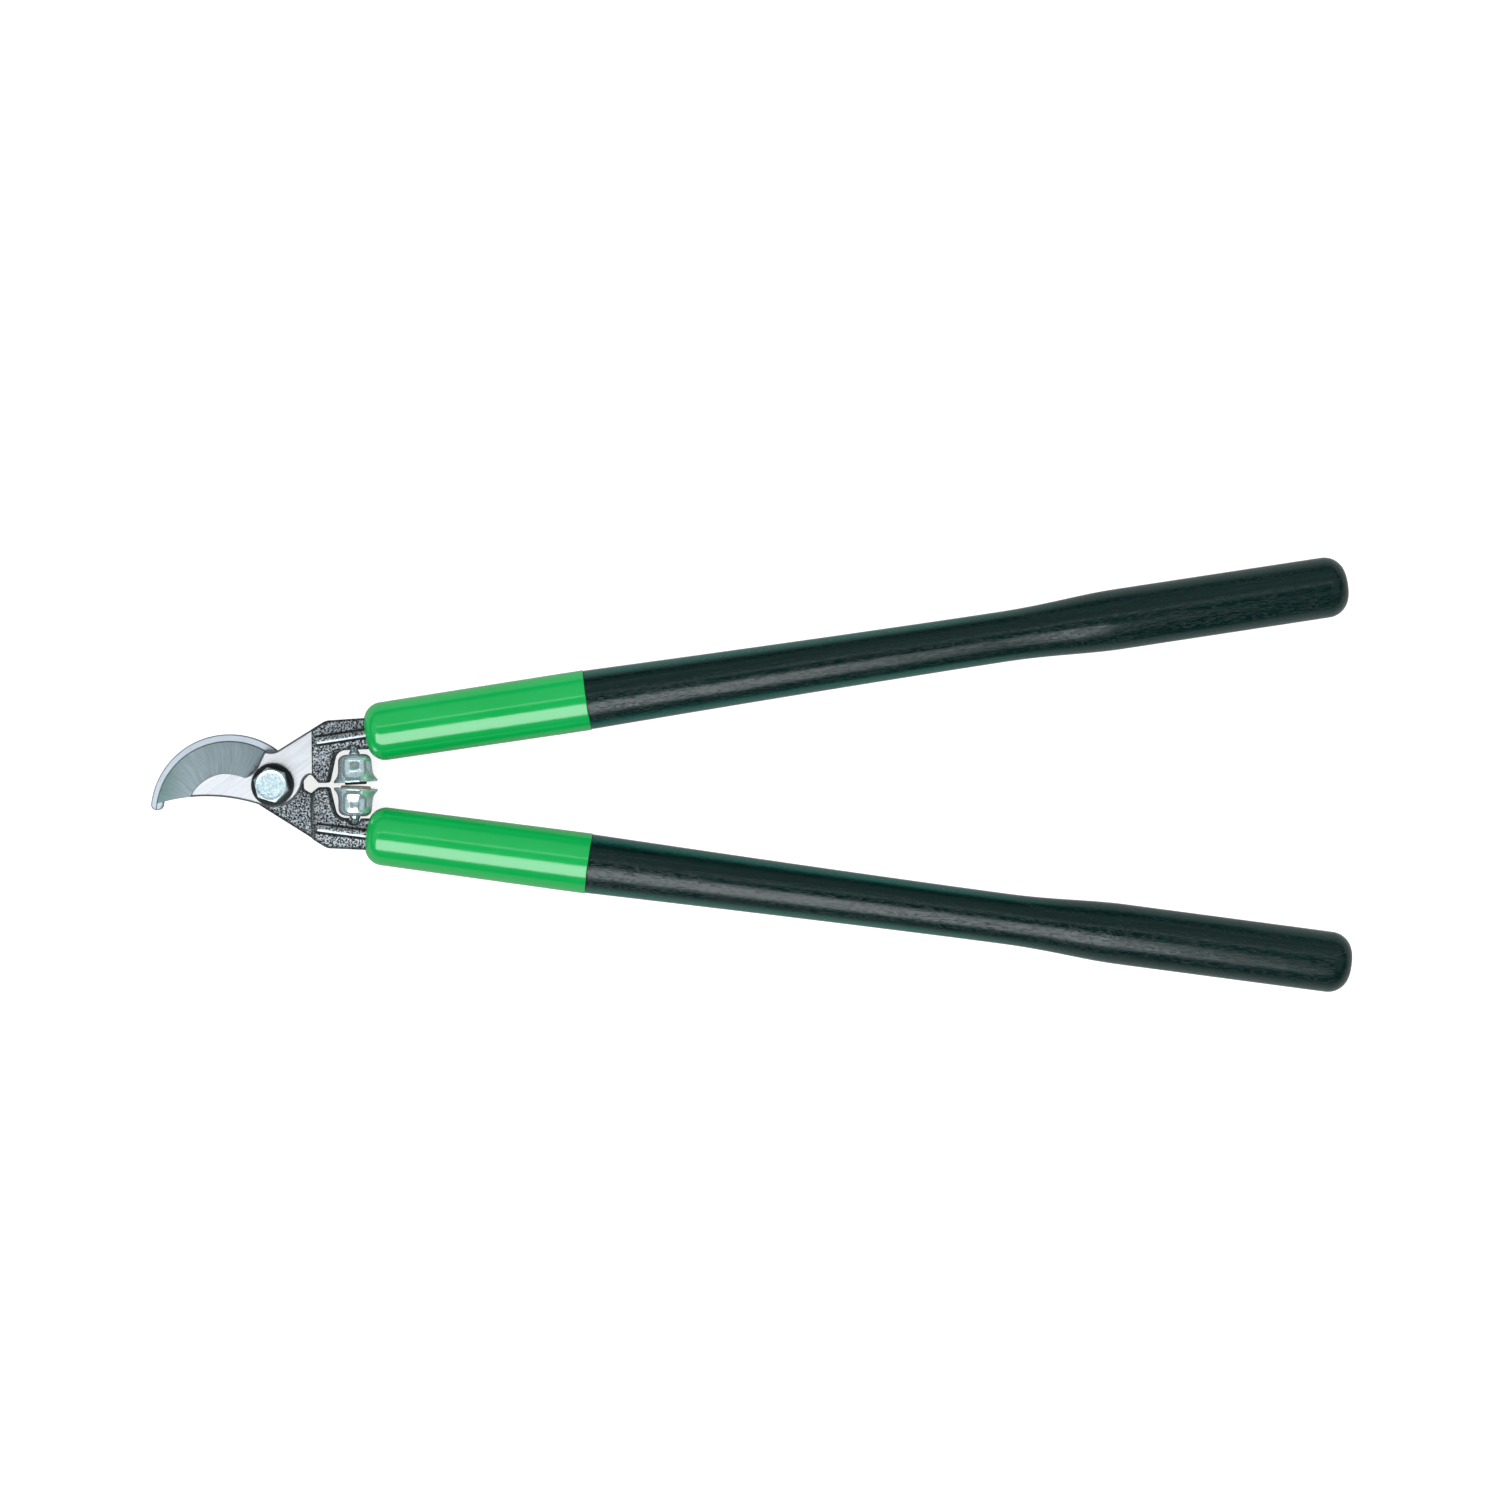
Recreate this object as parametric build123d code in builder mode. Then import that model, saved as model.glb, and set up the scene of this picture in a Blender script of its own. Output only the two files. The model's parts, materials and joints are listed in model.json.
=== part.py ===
from build123d import *

import math
import os

os.makedirs("parts", exist_ok=True)

# Bypass loppers, lying flat and closed. The origin is on the pivot axis, in the plane
# that the tool rests on. +X runs along the tool's centreline to the handle ends,
# +Y points to the blade arm's handle, +Z is up. Millimetres.

# Handles: straight, one on each side of the centreline
handle_angle = 8.11
handle_offset = 21.92
grip_radius = 17.9
handle_end = 642.9
handle_front = 72.0
spigot_radius = 14.8
neck_radius = 14.95
shoulder_radius = 17.5
neck_place = 434.0
grip_start = 505.0
end_corner = 12.5

corner_start = handle_end - 0.5 - end_corner

# Sleeves; along a handle's axis, places are measured from where it passes X = 0
sleeve_front = 55.4
sleeve_rear = 187.9
sleeve_front_radius = 17.2
sleeve_nose_corner = 10.5
sleeve_nose_wall = 12.6

# Ferrules and tang pins
ferrule_wall = 1.2
ferrule_end = 140.0
tang_pin_radius = 2.5
tang_pin_place = 112.0

# Heights
mid_height = grip_radius
shank_half = 6.2
blade_thickness = 5.6
hook_thickness = 6.0
lap_gap = 0.05
rib_height = 1.1

# Arms
shank_width = 18.6
tang_start = 70.0
tang_end = 172.0
tang_width = 12.0
tang_depth = 9.0
tang_tip = 6.0
rib_width = 6.0
rib_taper = 52.0
rib_start = 25.5
forged_edge = 1.0
wall_foot = 21.4
wall_top = 24.3
machined_edge = 23.2
shoulder = (31.5, 37.75)
fork = (37.1, 19.9)
lug_front = 26.9
lug_rear = 32.8
parting_gap = 1.25
parting_shift = -0.4
keyhole = 21.8

# Jaws: the cutting edge, the grind line and the hook's rim share one centre
jaw_centre = (-26.8, -17.3)
edge_radius = 43.2
rim_radius = 47.4
rim_tip_radius = 46.6
grind_radius = 24.5
edge_thickness = 0.45
grind_step = 0.22
boss_centre = (-0.2, 4.8)
boss_radius = 18.0
back_centre = (-39.3, -103.9)
hook_boss_radius = 14.8
hook_tip_round = 3.3

# Pivot hardware
bolt_radius = 6.0
running_clearance = 0.05
hex_flats = 18.4
hex_turn = 42.6
hex_flat_face = 8.9
head_height = 7.5
washer_radius = 12.65
front_washer_height = 2.0
back_washer_height = 1.8
nut_height = 9.1
bolt_protrusion = 1.0
insert_radius = 7.6
insert_height = 2.2

# Bumpers, measured from the centreline along the bumper's own axis
bumper_place = 48.5
bumper_shift = -0.7
bumper_tilt = 2.5
cup_mouth = 1.8
cup_closed = 18.3
cup_wall = 1.2
cup_lip_radius = 13.0
cup_body_radius = 9.7
buffer_face = 0.4
buffer_radius = 8.3
black_button_radius = 6.5
tan_button_radius = 8.8
dome_radius = 3.2
stud_radius = 2.5
stud_end = 31.0
stud_head_radius = 4.2
stud_head_height = 1.6
notch_radius = 4.0
notch_centre = 18.9


def on_circle(centre, radius, angle):
    """The point of a circle at an angle in degrees."""
    turn = math.radians(angle)
    return (centre[0] + radius * math.cos(turn), centre[1] + radius * math.sin(turn))


def handle_plane(side):
    """A plane whose x runs along a handle's axis, and whose z is up."""
    turn = math.radians(handle_angle)
    return Plane(
        origin=(0, side * handle_offset, mid_height),
        x_dir=(math.cos(turn), side * math.sin(turn), 0),
        z_dir=(0, 0, 1),
    )


def handle_axis(side):
    """The axis of a handle."""
    plane = handle_plane(side)
    return Axis(plane.origin, plane.x_dir)


def bumper_plane(side):
    """A plane whose x runs from the centreline to the arm along a bumper's axis."""
    turn = math.radians(bumper_tilt)
    return Plane(
        origin=(bumper_place, bumper_shift, mid_height),
        x_dir=(-math.sin(turn), side * math.cos(turn), 0),
        z_dir=(0, 0, 1),
    )


def bumper_axis(side):
    """The axis of a bumper."""
    plane = bumper_plane(side)
    return Axis(plane.origin, plane.x_dir)


def along_handle(side, along, across):
    """A point beside a handle's axis, seen from above."""
    point = handle_plane(side).from_local_coords((along, side * across, 0))
    return (point.X, point.Y)


def shank_corners(side, key_depth):
    """The corners of the shank's outline from the shoulder to the keyhole, and their radii."""
    half = shank_width / 2
    lug_face = parting_shift + side * parting_gap
    corners = [
        ((shoulder[0], side * shoulder[1]), 9),
        (along_handle(side, sleeve_front, half), 12),
        (along_handle(side, tang_start, half), 1.5),
        (along_handle(side, tang_start, -half), 1.5),
        (along_handle(side, sleeve_front, -half), 12),
        ((fork[0], side * fork[1]), 6),
        ((lug_rear, lug_face), 2),
        ((lug_front, lug_face), 1.5),
        ((keyhole, side * key_depth), 2.4),
    ]
    return corners


def draw_path(*corners):
    """A line through corners given as (point, radius), with its two ends left sharp."""
    FilletPolyline(*[point for point, radius in corners], radius=[radius for point, radius in corners[1:-1]])


def soften_edges(arm):
    """Rounds the outline's edges on the front and back of a forging."""
    flat = arm.edges().filter_by(Plane.XY).group_by(Axis.Z)
    fillet(flat[0] + flat[-1], radius=forged_edge)


def add_tang_and_ribs(side):
    """The tang inside the handle, and a rib along the shank's front and back."""
    plane = handle_plane(side)
    with BuildSketch(plane) as tang:
        with BuildLine():
            Polyline(
                (tang_start - 1, -tang_width / 2),
                (tang_end, -tang_tip / 2),
                (tang_end, tang_tip / 2),
                (tang_start - 1, tang_width / 2),
                close=True,
            )
        make_face()
    extrude(tang.sketch, amount=tang_depth / 2, both=True)
    for lift in (1, -1):
        origin = plane.origin + Vector(0, 0, lift * shank_half)
        with BuildSketch(Plane(origin=origin, x_dir=plane.x_dir, z_dir=(0, 0, lift))) as rib:
            with Locations(((rib_start + tang_start) / 2, 0)):
                Rectangle(tang_start - rib_start, rib_width)
        extrude(rib.sketch, amount=rib_height, taper=rib_taper)


def cut_pin_and_stud_holes(side):
    """The round notch and threaded hole of the bumper's stud, and the tang pin's hole."""
    plane = bumper_plane(side)
    notch = plane.from_local_coords((notch_centre, 0, 0))
    with Locations((notch.X, notch.Y, mid_height)):
        Cylinder(notch_radius, 4 * shank_half, mode=Mode.SUBTRACT)
    with BuildSketch(Plane(origin=plane.origin, z_dir=plane.x_dir)) as stud_hole:
        Circle(stud_radius)
    extrude(stud_hole.sketch, amount=stud_end, mode=Mode.SUBTRACT)
    pin = handle_plane(side).from_local_coords((tang_pin_place, 0, 0))
    with Locations((pin.X, pin.Y, mid_height)):
        Cylinder(tang_pin_radius, 40, mode=Mode.SUBTRACT)


def turned_hex(low, high, chamfered_low):
    """Cuts a hexagon's corners back with a cone at its top, and at its bottom if asked."""
    corner = hex_flats / 2 / math.cos(math.radians(30)) + 0.1
    fall = (corner - hex_flat_face) * math.tan(math.radians(30))
    bottom = [(0, low), (hex_flat_face, low), (corner, low + fall)]
    if not chamfered_low:
        bottom = [(0, low), (corner, low)]
    with BuildSketch(Plane.XZ) as outline:
        with BuildLine():
            Polyline(*bottom, (corner, high - fall), (hex_flat_face, high), (0, high), close=True)
        make_face()
    revolve(outline.sketch, axis=Axis.Z, mode=Mode.INTERSECT)


def turn_about(axis, plane, *corners):
    """A turned piece: its section is given as (along, radius) corners from end to end."""
    with BuildSketch(plane) as section:
        with BuildLine():
            Polyline((corners[0][0], 0), *corners, (corners[-1][0], 0), close=True)
        make_face()
    revolve(section.sketch, axis=axis)


# The blade's back is an arc that meets the plate's round boss without a corner
back_angle = math.degrees(math.atan2(back_centre[1] - boss_centre[1], back_centre[0] - boss_centre[0]))
back_crest = back_centre[1] + math.dist(back_centre, boss_centre) - boss_radius

# The hook arm's outer edge leaves its boss in line with the shoulder
shoulder_turn = math.atan2(shoulder[1], shoulder[0])
tangent_turn = math.acos(hook_boss_radius / math.hypot(*shoulder))
tangent_angle = -math.degrees(shoulder_turn + tangent_turn)

# The ground bevel's cutter: a ring with a sloping floor, kept only over the ground area
bevel_top = mid_height + blade_thickness
with BuildPart() as bevel_cutter:
    with BuildSketch(Plane(origin=(*jaw_centre, 0), x_dir=(1, 0, 0), z_dir=(0, -1, 0))):
        bevel_fall = (blade_thickness - edge_thickness - grind_step) / (edge_radius - grind_radius)
        inner = grind_radius - 3
        outer = edge_radius + 3
        with BuildLine():
            Polyline(
                (inner, bevel_top - grind_step + 3 * bevel_fall),
                (outer, mid_height + edge_thickness - 3 * bevel_fall),
                (outer, bevel_top + 2),
                (inner, bevel_top + 2),
                close=True,
            )
        make_face()
    revolve(axis=Axis((*jaw_centre, 0), (0, 0, 1)))
    with BuildSketch(Plane.XY.offset(mid_height - 2)):
        with BuildLine():
            grind_start = on_circle(jaw_centre, grind_radius, 162)
            grind_end = on_circle(jaw_centre, grind_radius, 96)
            heel_corner = on_circle(jaw_centre, edge_radius, 59.6)
            ThreePointArc(grind_start, on_circle(jaw_centre, grind_radius, 130), grind_end)
            Spline(grind_end, (-24.0, 5.9), (-19.6, 4.5), (-16.4, 4.2))
            ThreePointArc((-16.4, 4.2), (-13.2, 6.4), (-8.9, 11.6))
            Line((-8.9, 11.6), heel_corner)
            Polyline(heel_corner, (-4.0, 26.0), (-26.0, 34.0), (-60.0, 26.0), (-78.0, -14.0), grind_start)
        make_face()
    extrude(amount=blade_thickness + 6, mode=Mode.INTERSECT)

# Blade arm: blade, machined plate over the hook arm, forged shank, tang
with BuildPart() as blade_arm:
    with BuildSketch(Plane.XY.offset(mid_height - shank_half)):
        with BuildLine():
            tip = on_circle(jaw_centre, edge_radius, 171.0)
            heel = on_circle(jaw_centre, edge_radius, 59.3)
            boss_start = on_circle(boss_centre, boss_radius, -14)
            boss_end = on_circle(boss_centre, boss_radius, back_angle)
            ThreePointArc(tip, on_circle(jaw_centre, edge_radius, 115), heel)
            draw_path((heel, 0), ((1.0, 19.0), 8), *shank_corners(1, 6.9), ((17.8, 2.58), 4), (boss_start, 0))
            ThreePointArc(boss_start, on_circle(boss_centre, boss_radius, -60), boss_end)
            ThreePointArc(boss_end, (-38.0, back_crest), tip)
        make_face()
    extrude(amount=2 * shank_half)
    soften_edges(blade_arm)
    with BuildSketch(Plane.XZ):
        with BuildLine():
            Polyline(
                (-90, mid_height + lap_gap),
                (wall_foot, mid_height + lap_gap),
                (wall_top, mid_height - shank_half),
                (wall_top, -1),
                (-90, -1),
                close=True,
            )
        make_face()
    extrude(amount=60, both=True, mode=Mode.SUBTRACT)
    with BuildSketch(Plane.XY.offset(bevel_top)):
        with Locations(((machined_edge - 90) / 2, 0)):
            Rectangle(machined_edge + 90, 120)
    extrude(amount=shank_half, mode=Mode.SUBTRACT)
    add(bevel_cutter.part, mode=Mode.SUBTRACT)
    add_tang_and_ribs(1)
    Cylinder(bolt_radius + running_clearance, 80, mode=Mode.SUBTRACT)
    cut_pin_and_stud_holes(1)

# Hook arm: crescent hook, lap under the blade arm, forged shank, tang
with BuildPart() as hook_arm:
    with BuildSketch(Plane.XY.offset(mid_height - shank_half)) as hook_sketch:
        with BuildLine():
            rim_end = on_circle(jaw_centre, rim_radius, 52.0)
            rim_tip = on_circle(jaw_centre, rim_tip_radius, 176.5)
            hook_tip = (-66.2, rim_tip[1])
            boss_start = on_circle((0, 0), hook_boss_radius, tangent_angle)
            throat = on_circle((0, 0), hook_boss_radius, 153)
            ThreePointArc(rim_tip, on_circle(jaw_centre, rim_radius, 105), rim_end)
            draw_path((boss_start, 0), *shank_corners(-1, 5.5), ((17.2, -2.8), 2), ((16.4, 10.5), 8), (rim_end, 0))
            ThreePointArc(boss_start, on_circle((0, 0), hook_boss_radius, 190), throat)
            ThreePointArc(throat, (-40.5, 15.6), hook_tip)
            Line(hook_tip, rim_tip)
        make_face()
        fillet(hook_sketch.vertices().sort_by(Axis.X)[:2], radius=hook_tip_round)
        fillet(hook_sketch.vertices().sort_by_distance(throat)[0], radius=5)
    extrude(amount=2 * shank_half)
    soften_edges(hook_arm)
    with BuildSketch(Plane.XZ):
        with BuildLine():
            Polyline(
                (-90, mid_height - lap_gap),
                (wall_foot, mid_height - lap_gap),
                (wall_top, mid_height + shank_half),
                (wall_top, 40),
                (-90, 40),
                close=True,
            )
        make_face()
    extrude(amount=60, both=True, mode=Mode.SUBTRACT)
    with BuildSketch(Plane.XY.offset(mid_height - hook_thickness)):
        with Locations(((machined_edge - 90) / 2, 0)):
            Rectangle(machined_edge + 90, 120)
    extrude(amount=-2, mode=Mode.SUBTRACT)
    add_tang_and_ribs(-1)
    Cylinder(bolt_radius, 80, mode=Mode.SUBTRACT)
    cut_pin_and_stud_holes(-1)


blade_arm.part.label = "blade_arm"
export_step(blade_arm.part, "parts/blade_arm.step")
hook_arm.part.label = "hook_arm"
export_step(hook_arm.part, "parts/hook_arm.step")

# Pivot bolt: hex head on the front, plain shank through both arms, end on the rest plane
head_base = bevel_top + front_washer_height
with BuildPart() as pivot_bolt:
    with BuildSketch(Plane.XY):
        Circle(bolt_radius)
    extrude(amount=head_base)
    chamfer(pivot_bolt.edges().group_by(Axis.Z)[0], 0.6)
    with BuildSketch(Plane.XY.offset(head_base)):
        RegularPolygon(hex_flats / 2, 6, major_radius=False, rotation=hex_turn)
    extrude(amount=head_height)
    turned_hex(-1, head_base + head_height, False)
pivot_bolt.part.label = "pivot_bolt"
export_step(pivot_bolt.part, "parts/pivot_bolt.step")

# Washers: a blackened one under the head, a plain one under the nut
with BuildPart() as pivot_washer_front:
    with BuildSketch(Plane.XY.offset(bevel_top)):
        Circle(washer_radius)
        Circle(bolt_radius, mode=Mode.SUBTRACT)
    extrude(amount=front_washer_height)
    fillet(pivot_washer_front.edges().group_by(Axis.Z)[-1].sort_by(SortBy.LENGTH)[-1], radius=0.5)
pivot_washer_front.part.label = "pivot_washer_front"
export_step(pivot_washer_front.part, "parts/pivot_washer_front.step")

nut_base = bolt_protrusion
nut_top = nut_base + nut_height
with BuildPart() as pivot_washer_back:
    with BuildSketch(Plane.XY.offset(nut_top)):
        Circle(washer_radius)
        Circle(bolt_radius, mode=Mode.SUBTRACT)
    extrude(amount=back_washer_height)
    fillet(pivot_washer_back.edges().group_by(Axis.Z)[0].sort_by(SortBy.LENGTH)[-1], radius=0.4)
pivot_washer_back.part.label = "pivot_washer_back"
export_step(pivot_washer_back.part, "parts/pivot_washer_back.step")

# Lock nut with its round collar, and the plastic ring held in the collar
with BuildPart() as pivot_nut:
    with BuildSketch(Plane.XY.offset(nut_base + insert_height)):
        RegularPolygon(hex_flats / 2, 6, major_radius=False, rotation=hex_turn)
    extrude(amount=nut_height - insert_height)
    turned_hex(nut_base + insert_height, nut_top, True)
    with BuildSketch(Plane.XY.offset(nut_base)):
        Circle(hex_flat_face - 0.3)
    extrude(amount=insert_height + 1)
    fillet(pivot_nut.edges().group_by(Axis.Z)[0], radius=0.9)
    with BuildSketch(Plane.XY.offset(nut_base)):
        Circle(insert_radius)
    extrude(amount=insert_height, mode=Mode.SUBTRACT)
    Cylinder(bolt_radius, 40, mode=Mode.SUBTRACT)
pivot_nut.part.label = "pivot_nut"
export_step(pivot_nut.part, "parts/pivot_nut.step")

with BuildPart() as nut_insert:
    with BuildSketch(Plane.XY.offset(nut_base + 0.2)):
        Circle(insert_radius)
        Circle(bolt_radius, mode=Mode.SUBTRACT)
    extrude(amount=insert_height - 0.2)
nut_insert.part.label = "nut_insert"
export_step(nut_insert.part, "parts/nut_insert.step")

# Each side's bumper and handle; the blade arm's side is +Y, the hook arm's is -Y
for side, owner, arm in ((1, "blade", blade_arm), (-1, "hook", hook_arm)):
    plane = bumper_plane(side)
    axis = bumper_axis(side)
    cup_floor = cup_closed - cup_wall

    # Bell-shaped steel cup, open towards the other bumper
    with BuildPart() as bumper_cup:
        with BuildSketch(plane):
            with BuildLine():
                Line((cup_floor, stud_radius), (cup_closed, stud_radius))
                Line((cup_closed, stud_radius), (cup_closed, cup_body_radius - 3.2))
                ThreePointArc((cup_closed, cup_body_radius - 3.2), (17.3, 8.8), (15.0, cup_body_radius))
                Line((15.0, cup_body_radius), (9.0, 10.1))
                ThreePointArc((9.0, 10.1), (5.7, 10.9), (3.4, 12.5))
                ThreePointArc((3.4, 12.5), (2.6, cup_lip_radius), (cup_mouth, 12.5))
                Line((cup_mouth, 12.5), (cup_mouth, 11.7))
                ThreePointArc((cup_mouth, 11.7), (4.9, 9.8), (9.0, 10.1 - cup_wall))
                Line((9.0, 10.1 - cup_wall), (cup_floor, cup_body_radius - cup_wall))
                Line((cup_floor, cup_body_radius - cup_wall), (cup_floor, stud_radius))
            make_face()
        revolve(axis=axis)
    bumper_cup.part.label = owner + "_bumper_cup"
    export_step(bumper_cup.part, "parts/" + owner + "_bumper_cup.step")

    # Domed stud: its tail is screwed into the arm, its head is riveted inside the cup
    with BuildPart() as bumper_stud:
        head_top = cup_floor - stud_head_height
        turn_about(axis, plane, (head_top, stud_head_radius), (cup_floor, stud_head_radius))
        turn_about(axis, plane, (cup_floor, stud_radius), (stud_end, stud_radius))
        with BuildSketch(plane):
            with BuildLine():
                Line((cup_closed, 0), (cup_closed, dome_radius))
                ThreePointArc(
                    (cup_closed, dome_radius),
                    (cup_closed + dome_radius * 0.707, dome_radius * 0.707),
                    (cup_closed + dome_radius, 0),
                )
                Line((cup_closed + dome_radius, 0), (cup_closed, 0))
            make_face()
        revolve(axis=axis)
    bumper_stud.part.label = owner + "_bumper_stud"
    export_step(bumper_stud.part, "parts/" + owner + "_bumper_stud.step")

    # Rubber buffer that fills the cup and stands out of its mouth
    with BuildPart() as bumper_buffer:
        button_radius = black_button_radius if side > 0 else tan_button_radius
        turn_about(
            axis,
            plane,
            (buffer_face, button_radius - 0.8),
            (buffer_face + 0.5, button_radius),
            (cup_mouth + 1.5, button_radius),
            (cup_mouth + 1.5, buffer_radius),
            (cup_floor, buffer_radius),
        )
        add(bumper_stud.part, mode=Mode.SUBTRACT)
    bumper_buffer.part.label = owner + "_bumper_buffer"
    export_step(bumper_buffer.part, "parts/" + owner + "_bumper_buffer.step")

    # Wooden handle: necked in the middle, thicker at the grip, spigot inside the sleeve
    plane = handle_plane(side)
    axis = handle_axis(side)
    ferrule_seat = spigot_radius - ferrule_wall
    with BuildPart() as handle:
        with BuildSketch(plane):
            with BuildLine():
                Polyline(
                    (handle_front, 0),
                    (handle_front, ferrule_seat),
                    (ferrule_end, ferrule_seat),
                    (ferrule_end, spigot_radius),
                    (sleeve_rear, spigot_radius),
                    (sleeve_rear, shoulder_radius - 0.6),
                    (sleeve_rear + 0.6, shoulder_radius),
                )
                Spline(
                    (sleeve_rear + 0.6, shoulder_radius),
                    (291.0, 16.1),
                    (387.0, 15.2),
                    (neck_place, neck_radius),
                    tangents=[(1, -0.016), (1, 0)],
                )
                Spline(
                    (neck_place, neck_radius),
                    (457.6, 15.5),
                    (475.0, 16.5),
                    (490.0, 17.45),
                    (grip_start, grip_radius),
                    tangents=[(1, 0), (1, 0)],
                )
                Line((grip_start, grip_radius), (corner_start, grip_radius))
                ThreePointArc(
                    (corner_start, grip_radius),
                    (corner_start + end_corner * 0.68, grip_radius - end_corner * 0.29),
                    (handle_end - 0.5, grip_radius - end_corner),
                )
                Line((handle_end - 0.5, grip_radius - end_corner), (handle_end, 0))
                Line((handle_end, 0), (handle_front, 0))
            make_face()
        revolve(axis=axis)
        add(arm.part, mode=Mode.SUBTRACT)
        pin = along_handle(side, tang_pin_place, 0)
        with Locations((*pin, mid_height)):
            Cylinder(tang_pin_radius, 40, mode=Mode.SUBTRACT)
    handle.part.label = owner + "_handle"
    export_step(handle.part, "parts/" + owner + "_handle.step")

    # Steel ferrule round the front of the wood
    with BuildPart() as ferrule:
        turn_about(axis, plane, (handle_front, spigot_radius), (ferrule_end, spigot_radius))
        add(handle.part, mode=Mode.SUBTRACT)
        add(arm.part, mode=Mode.SUBTRACT)
        with Locations((*pin, mid_height)):
            Cylinder(tang_pin_radius, 40, mode=Mode.SUBTRACT)
    ferrule.part.label = owner + "_ferrule"
    export_step(ferrule.part, "parts/" + owner + "_ferrule.step")

    # Pin through ferrule, wood and tang
    with BuildPart() as tang_pin:
        with Locations((*pin, mid_height)):
            Cylinder(tang_pin_radius, 2 * spigot_radius - 0.8)
    tang_pin.part.label = owner + "_tang_pin"
    export_step(tang_pin.part, "parts/" + owner + "_tang_pin.step")

    # Moulded sleeve with a rounded nose that closes round the arm
    with BuildPart() as sleeve:
        with BuildSketch(plane):
            with BuildLine():
                nose = sleeve_front_radius - sleeve_nose_corner
                corner_end = sleeve_front + sleeve_nose_corner
                Line((sleeve_front, 0), (sleeve_front, nose))
                ThreePointArc(
                    (sleeve_front, nose),
                    (corner_end - sleeve_nose_corner * 0.7071, nose + sleeve_nose_corner * 0.7071),
                    (corner_end, sleeve_front_radius),
                )
                Polyline(
                    (corner_end, sleeve_front_radius),
                    (sleeve_rear - 0.5, grip_radius),
                    (sleeve_rear, grip_radius - 0.5),
                    (sleeve_rear, spigot_radius),
                    (sleeve_front + sleeve_nose_wall, spigot_radius),
                    (sleeve_front + sleeve_nose_wall, 0),
                    (sleeve_front, 0),
                )
            make_face()
        revolve(axis=axis)
        add(arm.part, mode=Mode.SUBTRACT)
    sleeve.part.label = owner + "_sleeve"
    export_step(sleeve.part, "parts/" + owner + "_sleeve.step")
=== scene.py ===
import json
from math import atan2, cos, pi, radians, sin, tan

import bmesh
import bpy
import numpy as np
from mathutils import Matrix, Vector


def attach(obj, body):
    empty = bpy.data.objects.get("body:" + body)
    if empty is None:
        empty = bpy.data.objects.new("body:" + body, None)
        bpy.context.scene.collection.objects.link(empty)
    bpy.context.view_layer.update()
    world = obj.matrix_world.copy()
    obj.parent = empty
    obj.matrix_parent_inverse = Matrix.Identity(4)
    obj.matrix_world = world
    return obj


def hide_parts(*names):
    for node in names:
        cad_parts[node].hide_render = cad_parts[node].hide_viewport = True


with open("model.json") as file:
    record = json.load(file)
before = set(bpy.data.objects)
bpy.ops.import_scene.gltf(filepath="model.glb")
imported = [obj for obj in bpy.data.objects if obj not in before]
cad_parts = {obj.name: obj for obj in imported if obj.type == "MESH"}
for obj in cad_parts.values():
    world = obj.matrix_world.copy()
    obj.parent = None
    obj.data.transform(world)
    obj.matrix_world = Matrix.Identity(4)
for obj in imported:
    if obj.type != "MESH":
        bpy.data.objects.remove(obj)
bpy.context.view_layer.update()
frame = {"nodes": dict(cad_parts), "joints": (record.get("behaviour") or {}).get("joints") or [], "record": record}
print("stage: frame loaded,", len(frame["nodes"]), "CAD nodes")

mm = 0.001
midHeight = frame["joints"][0]["pos_m"][2]
mounts = {mount["name"]: mount for mount in frame["record"]["mounts"]}
sides = {"blade": 1, "hook": -1}
bodyOf = {"blade": "blade_side", "hook": "hook_side"}

# what several pieces and finishes share, in millimetres; heights are from the lap of the arms
tool = {
    "jawCentre": (-26.8, -17.3),     # of the circles that the blade, bevel and hook follow
    "edgeRadius": 43.2,              # honed edge
    "rimRadius": 47.4,               # outside of the hook
    "grindRadius": 24.5,             # inner end of the bevel
    "bossCentre": (-0.2, 4.8),       # of the blade arm's round plate
    "bossRadius": 17.4,
    "machinedEdge": 23.2,            # X where the machined plates end
    "bladeTop": 5.6,
    "shankHalf": 6.2,                # half the shanks' thickness
    "ribStart": 25.5,
    "ribTop": 7.3,
}


# Mesh tools

def meshFromGrid(name, points, wrapRows=False, sharpAngle=35):
    # A surface over a grid of rows and columns. The columns always close on themselves;
    # the rows do when wrapRows is set, and otherwise the first and last row are poles.
    rows, columns = points.shape[:2]
    index = np.arange(rows * columns).reshape(rows, columns)
    upper = index if wrapRows else index[:-1]
    lower = np.roll(index, -1, axis=0) if wrapRows else index[1:]
    quads = np.stack([upper, np.roll(upper, -1, axis=1), np.roll(lower, -1, axis=1), lower], axis=-1)
    mesh = bpy.data.meshes.new(name)
    mesh.from_pydata(points.reshape(-1, 3).tolist(), [], quads.reshape(-1, 4).tolist())
    return finishMesh(name, mesh, sharpAngle)


def finishMesh(name, mesh, sharpAngle):
    # Merges doubled points, turns the faces outwards and smooths all but the real edges.
    work = bmesh.new()
    work.from_mesh(mesh)
    bmesh.ops.remove_doubles(work, verts=work.verts, dist=1e-6)
    bmesh.ops.dissolve_degenerate(work, edges=work.edges, dist=1e-7)
    bmesh.ops.recalc_face_normals(work, faces=work.faces)
    work.to_mesh(mesh)
    work.free()
    mesh.shade_smooth()
    mesh.set_sharp_from_angle(angle=radians(sharpAngle))
    piece = bpy.data.objects.new(name, mesh)
    bpy.context.scene.collection.objects.link(piece)
    return piece


def smoothCopy(name, node):
    # A CAD node's own shape, joined up so that its curved faces shade smoothly.
    mesh = frame["nodes"][node].data.copy()
    mesh.materials.clear()
    return finishMesh(name, mesh, 22)


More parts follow.
